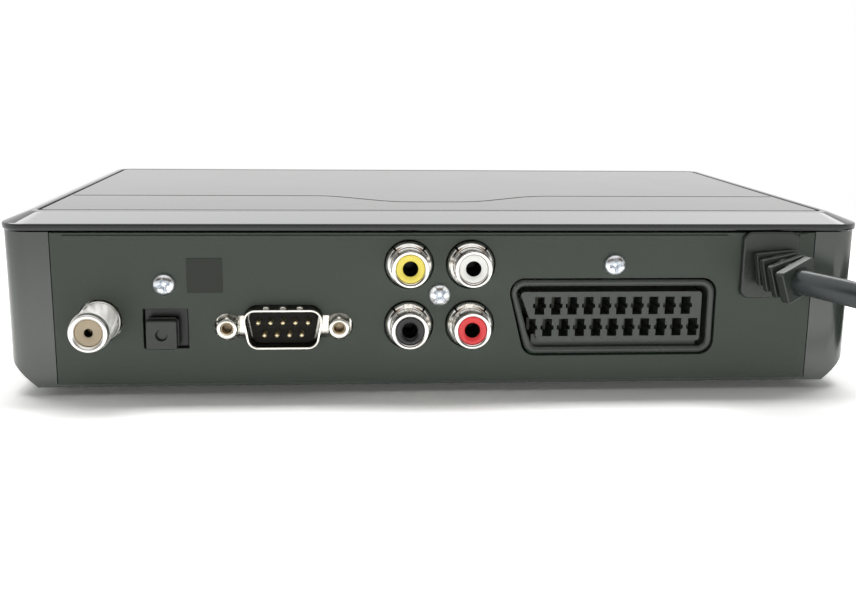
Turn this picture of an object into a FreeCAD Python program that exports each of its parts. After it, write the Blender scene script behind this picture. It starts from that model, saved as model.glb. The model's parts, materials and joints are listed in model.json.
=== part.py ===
import FreeCAD, Part
import math
import os
import re
import Sketcher

# Satellite receiver, rear side towards +Y, lid up, resting on its feet at Z = 0.
# The origin lies under the middle of the case together with its aerial connector.

driving_sizes = [
    # Case
    ("case_width", 195, "base, outside, across"),
    ("case_depth", 113, "base, outside, front to back"),
    ("base_height", 35.4, "base, bottom to the top of its walls"),
    ("skin", 2, "walls and floor of the base"),
    ("corner_round", 6, "upright corners of the base in plan"),
    ("edge_chamfer_run", 6.6, "lower side edges, measured across"),
    ("edge_chamfer_rise", 5.8, "lower side edges, measured up"),
    ("foot_height", 1.8, "rubber feet, standing out"),
    ("foot_diameter", 12, "rubber feet"),
    ("foot_side_inset", 23.5, "foot centre from the side"),
    ("foot_end_inset", 11.5, "foot centre from the end"),
    ("seam_gap", 0.4, "dark seam between base and cover"),
    ("fit_gap", 0.15, "gap all round a plate in its frame"),
    ("running_gap", 0.3, "gap all round a piece that slides"),
    # Cover
    ("cover_overhang", 1.1, "cover past the base at front and rear"),
    ("cover_side_overhang", 0.4, "cover past the base at the sides"),
    ("cover_edge", 1.4, "upright edge of the cover"),
    ("cover_skin", 2.1, "top wall of the cover"),
    ("bevel_rise", 2.1, "bevel of the cover, height"),
    ("bevel_run_side", 5.6, "bevel of the cover along the sides"),
    ("bevel_run_end", 6.3, "bevel of the cover at front and rear"),
    ("rim_side", 1.1, "flat rim along the sides"),
    ("rim_end", 2.1, "flat rim at front and rear"),
    ("groove_width", 0.9, "styling grooves of the cover"),
    ("groove_depth", 0.6, "styling grooves of the cover"),
    ("wave_inset", 36, "straight part of the wavy groove from the rear panel"),
    ("wave_bulge", 12.4, "how far the wavy groove bows to the rear"),
    ("wave_wide", 26, "half width of the bow where it starts"),
    ("wave_narrow", 10, "half width of the bow at its flat"),
    ("wave_round", 14, "bend radius of the wavy groove"),
    # Rear panel and front plate
    ("panel_width", 173.2, "opening between the corner returns"),
    ("panel_thickness", 2.2, "rear panel"),
    ("panel_lip", 0.8, "floor edge that shows under the panel"),
    ("panel_ridge", 0.4, "raised line near the top of the rear panel"),
    ("fascia_thickness", 2.6, "front plate"),
    ("rib_thickness", 2, "guide ribs behind the plates"),
    ("rib_reach", 3.4, "guide ribs, overlap behind a plate"),
    # Boards
    ("standoff_height", 3.2, "board pillars above the floor"),
    ("standoff_diameter", 6.4, "board pillars"),
    ("board_thickness", 1.6, "circuit boards"),
    ("board_gap", 3, "space between the two floor boards"),
    ("main_board_depth", 78, "main board, front to back"),
    ("power_board_width", 27, "power board, across"),
    ("power_board_depth", 90, "power board, front to back"),
    # Screws
    ("panel_screw_head", 5, "rear screw heads"),
    ("panel_screw_shank", 2.6, "rear screw shanks"),
    ("panel_screw_length", 8, "rear screw shanks"),
    ("cover_screw_head", 5.6, "cover screw heads"),
    ("cover_screw_shank", 2.9, "cover screw shanks"),
    ("cover_screw_length", 12, "cover screw shanks"),
    ("board_screw_head", 5, "board screw heads"),
    ("board_screw_shank", 2.4, "board screw shanks"),
    ("board_screw_length", 4.2, "board screw shanks"),
    ("head_height", 1.7, "height of every screw head"),
    ("boss_diameter", 9.4, "cover screw bosses of the base"),
    ("boss_height", 20, "cover screw bosses, top above the base's bottom"),
    ("boss_seat", 4, "plastic under a cover screw head"),
    ("boss_side_inset", 13.6, "boss centre from the side"),
    ("boss_end_inset", 14.5, "front boss centres from the front"),
    ("boss_rear_inset", 56, "rear boss centres from the rear panel"),
    # Aerial connector
    ("antenna_x", 76.45, "aerial connector, across"),
    ("antenna_rise", 8.53, "aerial connector above the board"),
    ("antenna_reach", 12.1, "aerial connector out of the panel"),
    ("antenna_thread", 8.9, "aerial connector, thread crests"),
    ("antenna_tip", 8.4, "aerial connector, face of the tip"),
    ("antenna_collar", 9.4, "aerial connector, collar at the panel"),
    ("antenna_bore", 5.9, "aerial connector, bore"),
    # Optical socket
    ("optical_x", 62, "optical socket, across"),
    ("optical_rise", 6.65, "optical socket above the board"),
    ("optical_width", 10, "optical socket, hole across"),
    ("optical_height", 9.1, "optical socket, hole upright"),
    ("optical_screw_rise", 10.2, "rear screw above the optical socket"),
    ("dust_plug_face", 6.8, "dust plug, square face"),
    ("dust_plug_flange", 7.2, "dust plug, square flange"),
    ("dust_plug_reach", 3, "dust plug out of the panel"),
    ("dust_plug_shank", 5.8, "dust plug, part inside the socket"),
    ("dust_plug_depth", 7, "dust plug, length inside the socket"),
    # Serial plug
    ("serial_x", 35.72, "serial plug, across"),
    ("serial_rise", 7.02, "serial plug above the board"),
    ("serial_width", 17.4, "serial shell, outside across"),
    ("serial_height", 8.8, "serial shell, outside upright"),
    ("serial_slant", 1.5, "serial shell, side lean from top to bottom"),
    ("serial_round", 2.5, "serial shell, corner radius"),
    ("serial_reach", 3.6, "serial shell out of the panel"),
    ("serial_wall", 0.45, "serial shell metal"),
    ("pin_pitch", 2.77, "serial pins across"),
    ("pin_row", 2.84, "serial pins between rows"),
    ("pin_diameter", 1, "serial pins"),
    ("jackscrew_spacing", 24.99, "between the jackscrews"),
    ("jackscrew_flats", 4.75, "jackscrew hexagon"),
    ("jackscrew_reach", 2.65, "jackscrews out of the panel"),
    ("jackscrew_bore", 2.8, "jackscrew thread"),
    ("jackscrew_depth", 4, "jackscrew thread, depth"),
    # Audio and video jacks
    ("jacks_x", 0.43, "middle of the four jacks, across"),
    ("jacks_rise", 14.23, "middle of the four jacks above the board"),
    ("jack_pitch", 14, "between jacks, both ways"),
    ("jack_ring", 10.8, "jack base ring"),
    ("jack_barrel", 8.3, "jack barrel"),
    ("jack_reach", 6.6, "jack barrel out of the panel"),
    ("jack_insert", 6.4, "coloured ring in the barrel"),
    ("jack_hole", 3.3, "hole in the coloured ring"),
    ("jack_block_depth", 12, "jack block behind the panel"),
    # Large socket
    ("scart_x", -39.4, "large socket, across"),
    ("scart_rise", 8.8, "large socket above the board"),
    ("scart_width", 48.2, "large socket, outline across"),
    ("scart_height", 17.2, "large socket, outline upright"),
    ("scart_slant", 4.5, "large socket, lean of its slanted side"),
    ("scart_round", 3, "large socket, corner radius"),
    ("scart_ring", 1.35, "outer wall of the large socket"),
    ("scart_channel", 1.4, "channel round the contact block"),
    ("scart_channel_depth", 11, "depth of that channel"),
    ("scart_screw_rise", 12.25, "rear screw above the middle of the large socket"),
    ("scart_depth", 20, "large socket behind the panel"),
    ("contact_pitch", 3.81, "contacts in a row"),
    ("contact_row", 5.12, "between the contact rows"),
    ("slot_width", 2.2, "contact slot"),
    ("slot_height", 4.15, "contact slot"),
    ("slot_arm", 3.05, "side arms of a contact slot, across"),
    ("slot_depth", 9, "contact slot"),
    ("contact_recess", 4.1, "contacts behind the face of their block"),
    # Front
    ("window_width", 74, "display window"),
    ("window_height", 19, "display window"),
    ("window_thickness", 1.6, "display window"),
    ("button_diameter", 9, "front buttons"),
    ("button_pitch", 16, "between front buttons"),
    ("button_reach", 1.1, "front buttons out of the plate"),
    ("button_travel", 0.6, "front buttons, stroke"),
    ("front_gap", 7, "front plate to the front board"),
    ("switch_reach", 3.6, "key switches off the front board"),
    ("window_shift", 0.112, "display window left of the middle, as a share of the width"),
    ("led_shift", 0.122, "status light right of the middle, as a share of the width"),
    ("button_shift", 0.245, "middle front button, as a share of the width"),
    ("chip_x", 12, "picture chip, across"),
    ("chip_y", 0, "picture chip, front to back"),
    ("sticker_x", 53.1, "small label on the rear panel, across"),
    # Cable entry and mains lead
    ("gland_x", -75.75, "cable entry, across"),
    ("gland_rise", 28.1, "cable entry above the base's bottom"),
    ("gland_width", 13, "cable entry plate"),
    ("gland_height", 15, "cable entry plate"),
    ("gland_round", 2.2, "cable entry plate, corners"),
    ("gland_plate", 1.5, "cable entry plate, thickness"),
    ("gland_neck", 8.4, "neck through the panel, across"),
    ("relief_width", 10.4, "first rib of the cable guard, across"),
    ("relief_height", 7.7, "ribs of the cable guard, upright"),
    ("relief_growth", 0.6, "how much wider the end rib is"),
    ("relief_round", 0.9, "ribs, corner radius"),
    ("relief_lean", 0.9, "how far the first ribs stand sideways"),
    ("relief_rib", 1.6, "ribs, thickness"),
    ("relief_end", 2.9, "end rib, thickness"),
    ("relief_core", 6.6, "core between the ribs"),
    ("relief_reach", 12.2, "cable guard out of the panel"),
    ("relief_side", 2.65, "cable guard's end, sideways from the entry"),
    ("relief_drop", 1.9, "cable guard's end, below the entry"),
    ("relief_turn", 30, "degrees that the cable guard turns sideways"),
    ("relief_roll", 16, "degrees that the cable guard rolls"),
    ("cord_diameter", 5.6, "mains lead"),
    ("coil_pitch", 6.2, "between turns of the coiled lead"),
    ("coil_radius", 41.9, "outer turn of the coiled lead"),
    ("coil_tail", 24, "straight lead after the coil"),
    ("coil_fall", 16, "length over which the lead comes down to the plug"),
    ("plug_width", 35.3, "mains plug"),
    ("plug_thickness", 13.7, "mains plug"),
    ("plug_body", 20, "mains plug, body length"),
    ("plug_nose", 18, "mains plug, cable guard"),
    ("plug_pin", 4, "mains plug, pins"),
    ("plug_pin_length", 19, "mains plug, pins"),
    ("plug_pin_spacing", 19, "mains plug, between the pins"),
]

derived_places = [
    ("rear_y", "(case_depth + cover_overhang - antenna_reach) / 2"),
    ("front_y", "rear_y - case_depth"),
    ("base_z", "foot_height"),
    ("floor_z", "foot_height + skin"),
    ("board_z", "floor_z + standoff_height + board_thickness"),
    ("wall_z", "foot_height + base_height"),
    ("cover_z", "wall_z + seam_gap"),
    ("bevel_z", "cover_z + cover_edge"),
    ("top_z", "bevel_z + bevel_rise"),
    ("ceiling_z", "top_z - cover_skin"),
    ("panel_z", "foot_height + panel_lip"),
    ("panel_back_y", "rear_y - panel_thickness - fit_gap"),
    ("fascia_back_y", "front_y + fascia_thickness + fit_gap"),
    ("power_left_x", "skin + 2 - case_width / 2"),
    ("power_right_x", "power_left_x + power_board_width"),
    ("main_left_x", "power_right_x + board_gap"),
    ("main_right_x", "case_width / 2 - skin - 2"),
    ("main_front_y", "panel_back_y - main_board_depth"),
    ("power_front_y", "panel_back_y - power_board_depth"),
    ("front_board_y", "front_y + fascia_thickness + front_gap"),
    ("antenna_z", "board_z + antenna_rise"),
    ("optical_z", "board_z + optical_rise"),
    ("serial_z", "board_z + serial_rise"),
    ("jacks_z", "board_z + jacks_rise"),
    ("dust_x", "optical_x + 0.6"),
    ("dust_z", "optical_z - 0.83"),
    ("scart_z", "board_z + scart_rise"),
    ("gland_z", "base_z + gland_rise"),
    ("middle_z", "(panel_z + wall_z) / 2"),
    ("window_x", "-window_shift * case_width"),
    ("led_x", "led_shift * case_width"),
    ("button_x", "button_shift * case_width"),
    ("boss_x", "case_width / 2 - boss_side_inset"),
    ("boss_rear_y", "rear_y - boss_rear_inset"),
    ("boss_front_y", "front_y + boss_end_inset"),
    ("boss_z", "base_z + boss_height"),
]

document = FreeCAD.newDocument("satellite_receiver")
sheet = document.addObject("Spreadsheet::Sheet", "Sizes")
for row, (alias, size, note) in enumerate(driving_sizes, 1):
    sheet.set(f"A{row}", note)
    sheet.set(f"B{row}", str(size))
    sheet.setAlias(f"B{row}", alias)
document.recompute()

places = document.addObject("App::VarSet", "Places")
named = {alias: f"Sizes.{alias}" for alias, size, note in driving_sizes}


def formula(text):
    """The text as an expression: each name points at its cell or place."""
    return re.sub(r"[a-z]\w*", lambda found: named.get(found.group(0), found.group(0)), str(text))


for alias, text in derived_places:
    places.addProperty("App::PropertyFloat", alias)
    places.setExpression(alias, formula(text))
    named[alias] = f"Places.{alias}"
document.recompute()


def number(text):
    """The value of the text in millimetres."""
    def replace(found):
        word = found.group(0)
        if word not in named:
            return word
        owner = sheet if named[word].startswith("Sizes") else places
        return f"({getattr(owner, word):.6f})"
    return FreeCAD.Units.Quantity(re.sub(r"[a-z]\w*", replace, str(text))).Value


def bind(item, **texts):
    for name, text in texts.items():
        item.setExpression(name, formula(text))
    return item


def put(item, x, y, z):
    """Moves the item to a place given by formulas."""
    for axis, text in zip("xyz", (x, y, z)):
        item.setExpression(f"Placement.Base.{axis}", formula(text))
    return item


turns = {
    "up": FreeCAD.Rotation(),
    "down": FreeCAD.Rotation(FreeCAD.Vector(1, 0, 0), 180),
    "rear": FreeCAD.Rotation(FreeCAD.Vector(1, 0, 0), -90),
    "front": FreeCAD.Rotation(FreeCAD.Vector(1, 0, 0), 90),
    "right": FreeCAD.Rotation(FreeCAD.Vector(0, 1, 0), 90),
}


def block(name, x, y, z, width, depth, height):
    """A box centred on x and y, standing on z."""
    item = document.addObject("Part::Box", name)
    bind(item, Length=width, Width=depth, Height=height)
    return put(item, f"({x}) - ({width}) / 2", f"({y}) - ({depth}) / 2", z)


def slab(name, x1, x2, y1, y2, z1, z2):
    """A box between two corners."""
    item = document.addObject("Part::Box", name)
    bind(item, Length=f"({x2}) - ({x1})", Width=f"({y2}) - ({y1})", Height=f"({z2}) - ({z1})")
    return put(item, x1, y1, z1)


def rod(name, x, y, z, diameter, length, facing="up"):
    """A cylinder from its start along the way it faces."""
    item = document.addObject("Part::Cylinder", name)
    item.Placement = FreeCAD.Placement(FreeCAD.Vector(), turns[facing])
    bind(item, Radius=f"({diameter}) / 2", Height=length)
    return put(item, x, y, z)


def taper(name, x, y, z, diameter1, diameter2, length, facing="up"):
    """A cone frustum from its start along the way it faces."""
    item = document.addObject("Part::Cone", name)
    item.Placement = FreeCAD.Placement(FreeCAD.Vector(), turns[facing])
    bind(item, Radius1=f"({diameter1}) / 2", Radius2=f"({diameter2}) / 2", Height=length)
    return put(item, x, y, z)


def hexagon(name, x, y, z, flats, length, facing="up"):
    item = document.addObject("Part::Prism", name)
    item.Polygon = 6
    item.Placement = FreeCAD.Placement(FreeCAD.Vector(), turns[facing])
    bind(item, Circumradius=f"({flats}) / sqrt(3)", Height=length)
    return put(item, x, y, z)


def join(name, pieces):
    if len(pieces) == 1:
        return pieces[0]
    item = document.addObject("Part::MultiFuse", name)
    item.Shapes = pieces
    return item


def cut(name, base, tools):
    item = document.addObject("Part::Cut", name)
    item.Base = base
    item.Tool = join(name + "_tools", tools)
    return item


def origin_plane(body, role):
    return [plane for plane in body.Origin.OriginFeatures if plane.Role == role][0]


def outline(body, name, role, points, lift):
    """A closed outline of straight lines, every corner bound to its formulas."""
    drawing = body.newObject("Sketcher::SketchObject", name)
    drawing.AttachmentSupport = [(origin_plane(body, role), "")]
    drawing.MapMode = "FlatFace"
    corners = [FreeCAD.Vector(number(x), number(y), 0) for x, y in points]
    for index, corner in enumerate(corners):
        drawing.addGeometry(Part.LineSegment(corner, corners[(index + 1) % len(corners)]))
    for index in range(len(corners)):
        drawing.addConstraint(Sketcher.Constraint("Coincident", index, 2, (index + 1) % len(corners), 1))
    for index, (x, y) in enumerate(points):
        for kind, text, start in (("DistanceX", x, corners[index].x), ("DistanceY", y, corners[index].y)):
            which = drawing.addConstraint(Sketcher.Constraint(kind, -1, 1, index, 1, start))
            drawing.setExpression(f"Constraints[{which}]", formula(text))
    drawing.setExpression("AttachmentOffset.Base.z", formula(lift))
    return drawing


def along(edge, axis):
    """True for a straight edge along the axis."""
    if edge.Curve.TypeId != "Part::GeomLine":
        return False
    ends = edge.Vertexes[1].Point - edge.Vertexes[0].Point
    return abs(ends.normalize().dot(axis)) > 0.999


def prism(name, role, points, start, length, rounding=None):
    """An outline padded upwards (XY_Plane), or from start towards the front (XZ_Plane)."""
    body = document.addObject("PartDesign::Body", name)
    lift = start if role == "XY_Plane" else f"-({start})"
    drawing = outline(body, name + "_outline", role, points, lift)
    pad = body.newObject("PartDesign::Pad", name + "_pad")
    pad.Profile = drawing
    bind(pad, Length=length)
    drawing.Visibility = False
    if rounding:
        document.recompute()
        axis = FreeCAD.Vector(0, 0, 1) if role == "XY_Plane" else FreeCAD.Vector(0, 1, 0)
        edges = [f"Edge{i}" for i, edge in enumerate(pad.Shape.Edges, 1) if along(edge, axis)]
        fillet = body.newObject("PartDesign::Fillet", name + "_round")
        fillet.Base = (pad, edges)
        bind(fillet, Radius=rounding)
    return body


def rectangle(x1, x2, y1, y2):
    return [(x1, y1), (x2, y1), (x2, y2), (x1, y2)]


nodes = {}


def node(name, item):
    """Keeps a finished piece under its own name."""
    item.Label = name
    nodes[name] = item
    return item


def screw(name, x, y, z, facing, head, shank, length):
    """A cross-slotted screw, its head facing the way given and seated on x, y, z."""
    back = {"up": "down", "down": "up", "rear": "front", "front": "rear"}[facing]
    step = {"up": (0, 1), "down": (0, -1), "rear": (1, 0), "front": (-1, 0)}[facing]
    place = lambda amount: (x, f"({y}) + ({step[0]}) * ({amount})", f"({z}) + ({step[1]}) * ({amount})")
    low, rise = "head_height * 0.55", "head_height * 0.45"
    solid = [
        rod(name + "_head", *place("0"), head, low, facing),
        taper(name + "_crown", *place(low), head, f"({head}) * 0.6", rise, facing),
        rod(name + "_shank", *place("0"), shank, length, back),
    ]
    recess, width, reach = "head_height * 0.7", f"({head}) * 0.17", f"({head}) * 0.58"
    middle = place(f"head_height - ({recess}) / 2")
    thick = f"({recess}) * 1.02"
    if facing in ("up", "down"):
        corner = (middle[0], middle[1], f"({middle[2]}) - ({thick}) / 2")
        cross = [block(name + "_slot_a", *corner, reach, width, thick),
                 block(name + "_slot_b", *corner, width, reach, thick)]
    else:
        cross = [block(name + "_slot_a", x, middle[1], f"({z}) - ({width}) / 2", reach, thick, width),
                 block(name + "_slot_b", x, middle[1], f"({z}) - ({reach}) / 2", width, thick, reach)]
    return cut(name, join(name + "_solid", solid), cross)


four_corners = [(side, end) for side in (-1, 1) for end in ("rear", "front")]


def make_base():
    half = "case_width / 2"
    body = document.addObject("PartDesign::Body", "tray")
    drawing = outline(body, "tray_outline", "XY_Plane",
                      rectangle(f"-{half}", half, "front_y", "rear_y"), "base_z")
    pad = body.newObject("PartDesign::Pad", "tray_pad")
    pad.Profile = drawing
    bind(pad, Length="base_height")
    bevels = []
    for side in (-1, 1):
        edge = f"({side}) * ({half})"
        corners = [(edge, "base_z"), (f"{edge} - ({side}) * edge_chamfer_run", "base_z"),
                   (edge, "base_z + edge_chamfer_rise")]
        name = "left" if side < 0 else "right"
        sketch = outline(body, f"{name}_bevel_outline", "XZ_Plane", corners, "-rear_y")
        pocket = body.newObject("PartDesign::Pocket", f"{name}_bevel")
        pocket.Profile = sketch
        pocket.Type = 0
        pocket.Midplane = True
        bind(pocket, Length="case_depth * 3")
        bevels.append(pocket)
    document.recompute()
    full = number("case_width * case_depth * base_height")
    if bevels[-1].Shape.Volume > full - 1:
        raise RuntimeError("The lower side edges aren't cut")
    edges = [f"Edge{i}" for i, edge in enumerate(bevels[-1].Shape.Edges, 1)
             if along(edge, FreeCAD.Vector(0, 0, 1))]
    corner = body.newObject("PartDesign::Fillet", "tray_corners")
    corner.Base = (bevels[-1], edges)
    bind(corner, Radius="corner_round")
    document.recompute()
    top = [f"Face{i}" for i, face in enumerate(corner.Shape.Faces, 1)
           if abs(face.BoundBox.ZMin - number("wall_z")) < 0.001]
    hollow = body.newObject("PartDesign::Thickness", "tray_hollow")
    hollow.Base = (corner, top)
    hollow.Reversed = True
    hollow.Join = 1
    bind(hollow, Value="skin")

    slot = "panel_thickness + fit_gap"
    front_slot = "fascia_thickness + fit_gap"
    openings = [
        slab("rear_opening", "-panel_width / 2", "panel_width / 2", f"rear_y - ({slot})", "rear_y + 1",
             "panel_z", "wall_z + 1"),
        slab("front_opening", "-panel_width / 2", "panel_width / 2", "front_y - 1",
             f"front_y + {front_slot}", "panel_z", "wall_z + 1"),
    ]
    solid = []
    holes = []
    for side, end in four_corners:
        tag = f"{end}_{'left' if side < 0 else 'right'}"
        outer = f"({side}) * (case_width / 2 - skin + 0.1)"
        inner = f"({side}) * (panel_width / 2 - rib_reach)"
        low, high = (outer, inner) if side < 0 else (inner, outer)
        ribs = ("panel_back_y - rib_thickness", "panel_back_y") if end == "rear" else (
            "fascia_back_y", "fascia_back_y + rib_thickness")
        solid.append(slab(f"rib_{tag}", low, high, *ribs, "floor_z - 0.1 + edge_chamfer_rise", "wall_z - 2"))
        x, y = f"({side}) * boss_x", f"boss_{end}_y"
        boss = rod(f"boss_{tag}", x, y, "base_z + skin / 2", "boss_diameter", "boss_height - skin / 2")
        holes.append(rod(f"boss_sink_{tag}", x, y, "base_z - 1", "cover_screw_head + 0.8",
                         "boss_height - boss_seat + 1"))
        holes.append(rod(f"boss_hole_{tag}", x, y, "base_z", "cover_screw_shank + 0.4", "boss_height + 1"))
        solid.append(boss)
    for index, (x, y) in enumerate(board_screw_places):
        solid.append(rod(f"pillar_{index}", x, y, "floor_z - 0.1", "standoff_diameter",
                         "standoff_height + 0.1"))
        holes.append(rod(f"pillar_hole_{index}", x, y, "floor_z - skin / 2", "board_screw_shank + 0.2",
                         "standoff_height + skin"))
    for index in range(9):
        x = f"({index} - 4) * 7"
        holes.append(block(f"vent_{index}", x, "front_y + case_depth * 0.3", "base_z - 1", "2.4", "26",
                           "skin + 2"))
    for side, end in four_corners:
        tag = f"{end}_{'left' if side < 0 else 'right'}"
        y = "rear_y - foot_end_inset" if end == "rear" else "front_y + foot_end_inset"
        holes.append(rod(f"foot_recess_{tag}", f"({side}) * (case_width / 2 - foot_side_inset)", y,
                         "base_z - 1", "foot_diameter + 0.4", "1.4"))
    shell = cut("base_open", body, openings)
    node("base_shell", cut("base_shell", join("base_solid", [shell] + solid), holes))


def make_feet():
    feet = []
    for side, end in four_corners:
        tag = f"{end}_{'left' if side < 0 else 'right'}"
        x = f"({side}) * (case_width / 2 - foot_side_inset)"
        y = "rear_y - foot_end_inset" if end == "rear" else "front_y + foot_end_inset"
        disc = rod(f"foot_{tag}", x, y, "foot_height * 0.25", "foot_diameter", "foot_height * 0.75 + 0.4")
        lip = taper(f"foot_lip_{tag}", x, y, "0", "foot_diameter - 1", "foot_diameter",
                    "foot_height * 0.25")
        feet.append(join(f"foot_solid_{tag}", [disc, lip]))
    node("rubber_feet", join("rubber_feet", feet))


def cover_rectangle(side, end):
    """The cover's outline drawn in by a side and an end distance."""
    half = f"case_width / 2 + cover_side_overhang - ({side})"
    return rectangle(f"-({half})", half, f"front_y - cover_overhang + ({end})",
                     f"rear_y + cover_overhang - ({end})")


def make_wave():
    """The wavy groove across the top: one flat band that follows lines and arcs."""
    half = number("case_width / 2 + cover_side_overhang - bevel_run_side - rim_side")
    back, bow = number("rear_y - wave_inset"), number("rear_y - wave_inset + wave_bulge")
    wide, narrow, radius = number("wave_wide"), number("wave_narrow"), number("wave_round")
    corners = [(-half, back), (-wide, back), (-narrow, bow), (narrow, bow), (wide, back), (half, back)]
    corners = [FreeCAD.Vector(x, y, 0) for x, y in corners]
    edges = []
    last = corners[0]
    for before, here, after in zip(corners, corners[1:], corners[2:]):
        arriving, leaving = (here - before).normalize(), (after - here).normalize()
        turn = arriving.getAngle(leaving)
        trim = min(radius * math.tan(turn / 2), 0.45 * (here - before).Length, 0.45 * (after - here).Length)
        first, second = here - arriving * trim, here + leaving * trim
        inward = (leaving - arriving).normalize()
        bend = trim / math.tan(turn / 2)
        middle = here + inward * (bend / math.cos(turn / 2) - bend)
        edges.append(Part.LineSegment(last, first).toShape())
        edges.append(Part.Arc(first, middle, second).toShape())
        last = second
    edges.append(Part.LineSegment(last, corners[-1]).toShape())
    width, depth = number("groove_width"), number("groove_depth")
    section = Part.makePolygon([FreeCAD.Vector(corners[0].x, back + a * width / 2, b * depth)
                                for a, b in ((-1, -1), (1, -1), (1, 1), (-1, 1), (-1, -1))])
    band = document.addObject("Part::Feature", "wave_band")
    band.Shape = Part.Wire(edges).makePipeShell([section], True, False)
    band.Placement = FreeCAD.Placement(FreeCAD.Vector(0, 0, number("top_z")), FreeCAD.Rotation())
    return band


def make_cover():
    outside = prism("cover_edge_slab", "XY_Plane", cover_rectangle("0", "0"), "cover_z", "cover_edge",
                    "corner_round + cover_overhang")
    # The bevel narrows from the edge's outline to the rim's
    steps = [("0", "0", "corner_round + cover_overhang"),
             ("bevel_run_side", "bevel_run_end", "corner_round * 0.6")]
    bevel = document.addObject("PartDesign::Body", "cover_bevel")
    drawings = []
    for index, (side, end, rounding) in enumerate(steps):
        lift = "bevel_z - 0.01" if index == 0 else "top_z"
        drawings.append(rounded_outline(bevel, f"bevel_outline_{index}", cover_rectangle(side, end),
                                        rounding, lift))
    loft = bevel.newObject("PartDesign::AdditiveLoft", "cover_bevel_loft")
    loft.Profile = drawings[0]
    loft.Sections = [drawings[1]]
    loft.Ruled = True
    # Groove all round the satin field
    ring_outer = prism("groove_outer", "XY_Plane",
                       cover_rectangle("bevel_run_side + rim_side", "bevel_run_end + rim_end"),
                       "top_z - groove_depth", "groove_depth + 1", "corner_round * 0.4")
    ring_inner = prism("groove_inner", "XY_Plane",
                       cover_rectangle("bevel_run_side + rim_side + groove_width",
                                       "bevel_run_end + rim_end + groove_width"),
                       "top_z - groove_depth - 1", "groove_depth + 3", "corner_round * 0.25")
    ring = cut("groove_ring", ring_outer, [ring_inner])
    inside = prism("cover_inside", "XY_Plane",
                   cover_rectangle("skin + cover_side_overhang", "skin + cover_overhang"),
                   "cover_z - 1", "ceiling_z - cover_z + 1", "corner_round - skin")
    shell = cut("cover_shell", join("cover_outside", [outside, bevel]), [inside, ring, make_wave()])
    solid = [shell]
    holes = []
    for side in (-1, 1):
        outer = f"({side}) * (case_width / 2 - skin - running_gap)"
        inner = f"({side}) * (case_width / 2 - skin - running_gap - 1.4)"
        low, high = (outer, inner) if side < 0 else (inner, outer)
        name = "left" if side < 0 else "right"
        solid.append(slab(f"cover_lip_{name}", low, high, "fascia_back_y + rib_thickness + 1",
                          "panel_back_y - rib_thickness - 1", "cover_z - 2.4", "ceiling_z + 0.2"))
    for side, end in four_corners:
        tag = f"{end}_{'left' if side < 0 else 'right'}"
        x, y = f"({side}) * boss_x", f"boss_{end}_y"
        solid.append(rod(f"cover_boss_{tag}", x, y, "boss_z", "boss_diameter - 2.4",
                         "ceiling_z - boss_z + 0.2"))
        holes.append(rod(f"cover_pilot_{tag}", x, y, "boss_z - 1", "cover_screw_shank + 0.2",
                         "cover_screw_length - boss_seat + 2"))
    for index in range(4):
        solid.append(block(f"cover_rib_{index}", f"({index} - 1.5) * 38", "(front_y + rear_y) / 2",
                           "ceiling_z - 0.7", "1.2", "case_depth - 2 * boss_end_inset - 16", "0.9"))
    node("top_cover", cut("top_cover", join("cover_solid", solid), holes))


def rounded_outline(body, name, points, rounding, lift):
    """A rectangle with round corners: four lines and four arcs, bound to the sheet."""
    drawing = body.newObject("Sketcher::SketchObject", name)
    drawing.AttachmentSupport = [(origin_plane(body, "XY_Plane"), "")]
    drawing.MapMode = "FlatFace"
    (x1, y1), (x2, y2) = [[number(text) for text in points[i]] for i in (0, 2)]
    r = number(rounding)
    centres = [(x1 + r, y1 + r), (x2 - r, y1 + r), (x2 - r, y2 - r), (x1 + r, y2 - r)]
    names = [(points[0][0], points[0][1], 1, 1), (points[2][0], points[0][1], -1, 1),
             (points[2][0], points[2][1], -1, -1), (points[0][0], points[2][1], 1, -1)]
    up = FreeCAD.Vector(0, 0, 1)
    for index, (cx, cy) in enumerate(centres):
        start = math.pi + index * math.pi / 2
        circle = Part.Circle(FreeCAD.Vector(cx, cy, 0), up, r)
        drawing.addGeometry(Part.ArcOfCircle(circle, start, start + math.pi / 2))
    for index in range(4):
        end = drawing.getPoint(index, 2)
        start = drawing.getPoint((index + 1) % 4, 1)
        drawing.addGeometry(Part.LineSegment(end, start))
    for index in range(4):
        drawing.addConstraint(Sketcher.Constraint("Tangent", index, 2, 4 + index, 1))
        drawing.addConstraint(Sketcher.Constraint("Tangent", 4 + index, 2, (index + 1) % 4, 1))
    for index, (x, y, right, above) in enumerate(names):
        kinds = (("DistanceX", f"({x}) + ({right}) * ({rounding})", centres[index][0]),
                 ("DistanceY", f"({y}) + ({above}) * ({rounding})", centres[index][1]))
        for kind, text, start in kinds:
            which = drawing.addConstraint(Sketcher.Constraint(kind, -1, 1, index, 3, start))
            drawing.setExpression(f"Constraints[{which}]", formula(text))
    which = drawing.addConstraint(Sketcher.Constraint("Radius", 0, r))
    drawing.setExpression(f"Constraints[{which}]", formula(rounding))
    drawing.setExpression("AttachmentOffset.Base.z", formula(lift))
    return drawing


# Where the boards are screwed down: four places on the main board, four on the power board
board_screw_places = [
    ("main_left_x + 5", "main_front_y + 5"),
    ("main_right_x - 5", "main_front_y + 5"),
    ("main_left_x + 5", "panel_back_y - 30"),
    ("main_right_x - 5", "panel_back_y - 30"),
    ("power_left_x + 5", "power_front_y + 5"),
    ("power_right_x - 4", "power_front_y + 5"),
    ("power_left_x + 5", "panel_back_y - 26"),
    ("power_right_x - 4", "panel_back_y - 26"),
]


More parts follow.
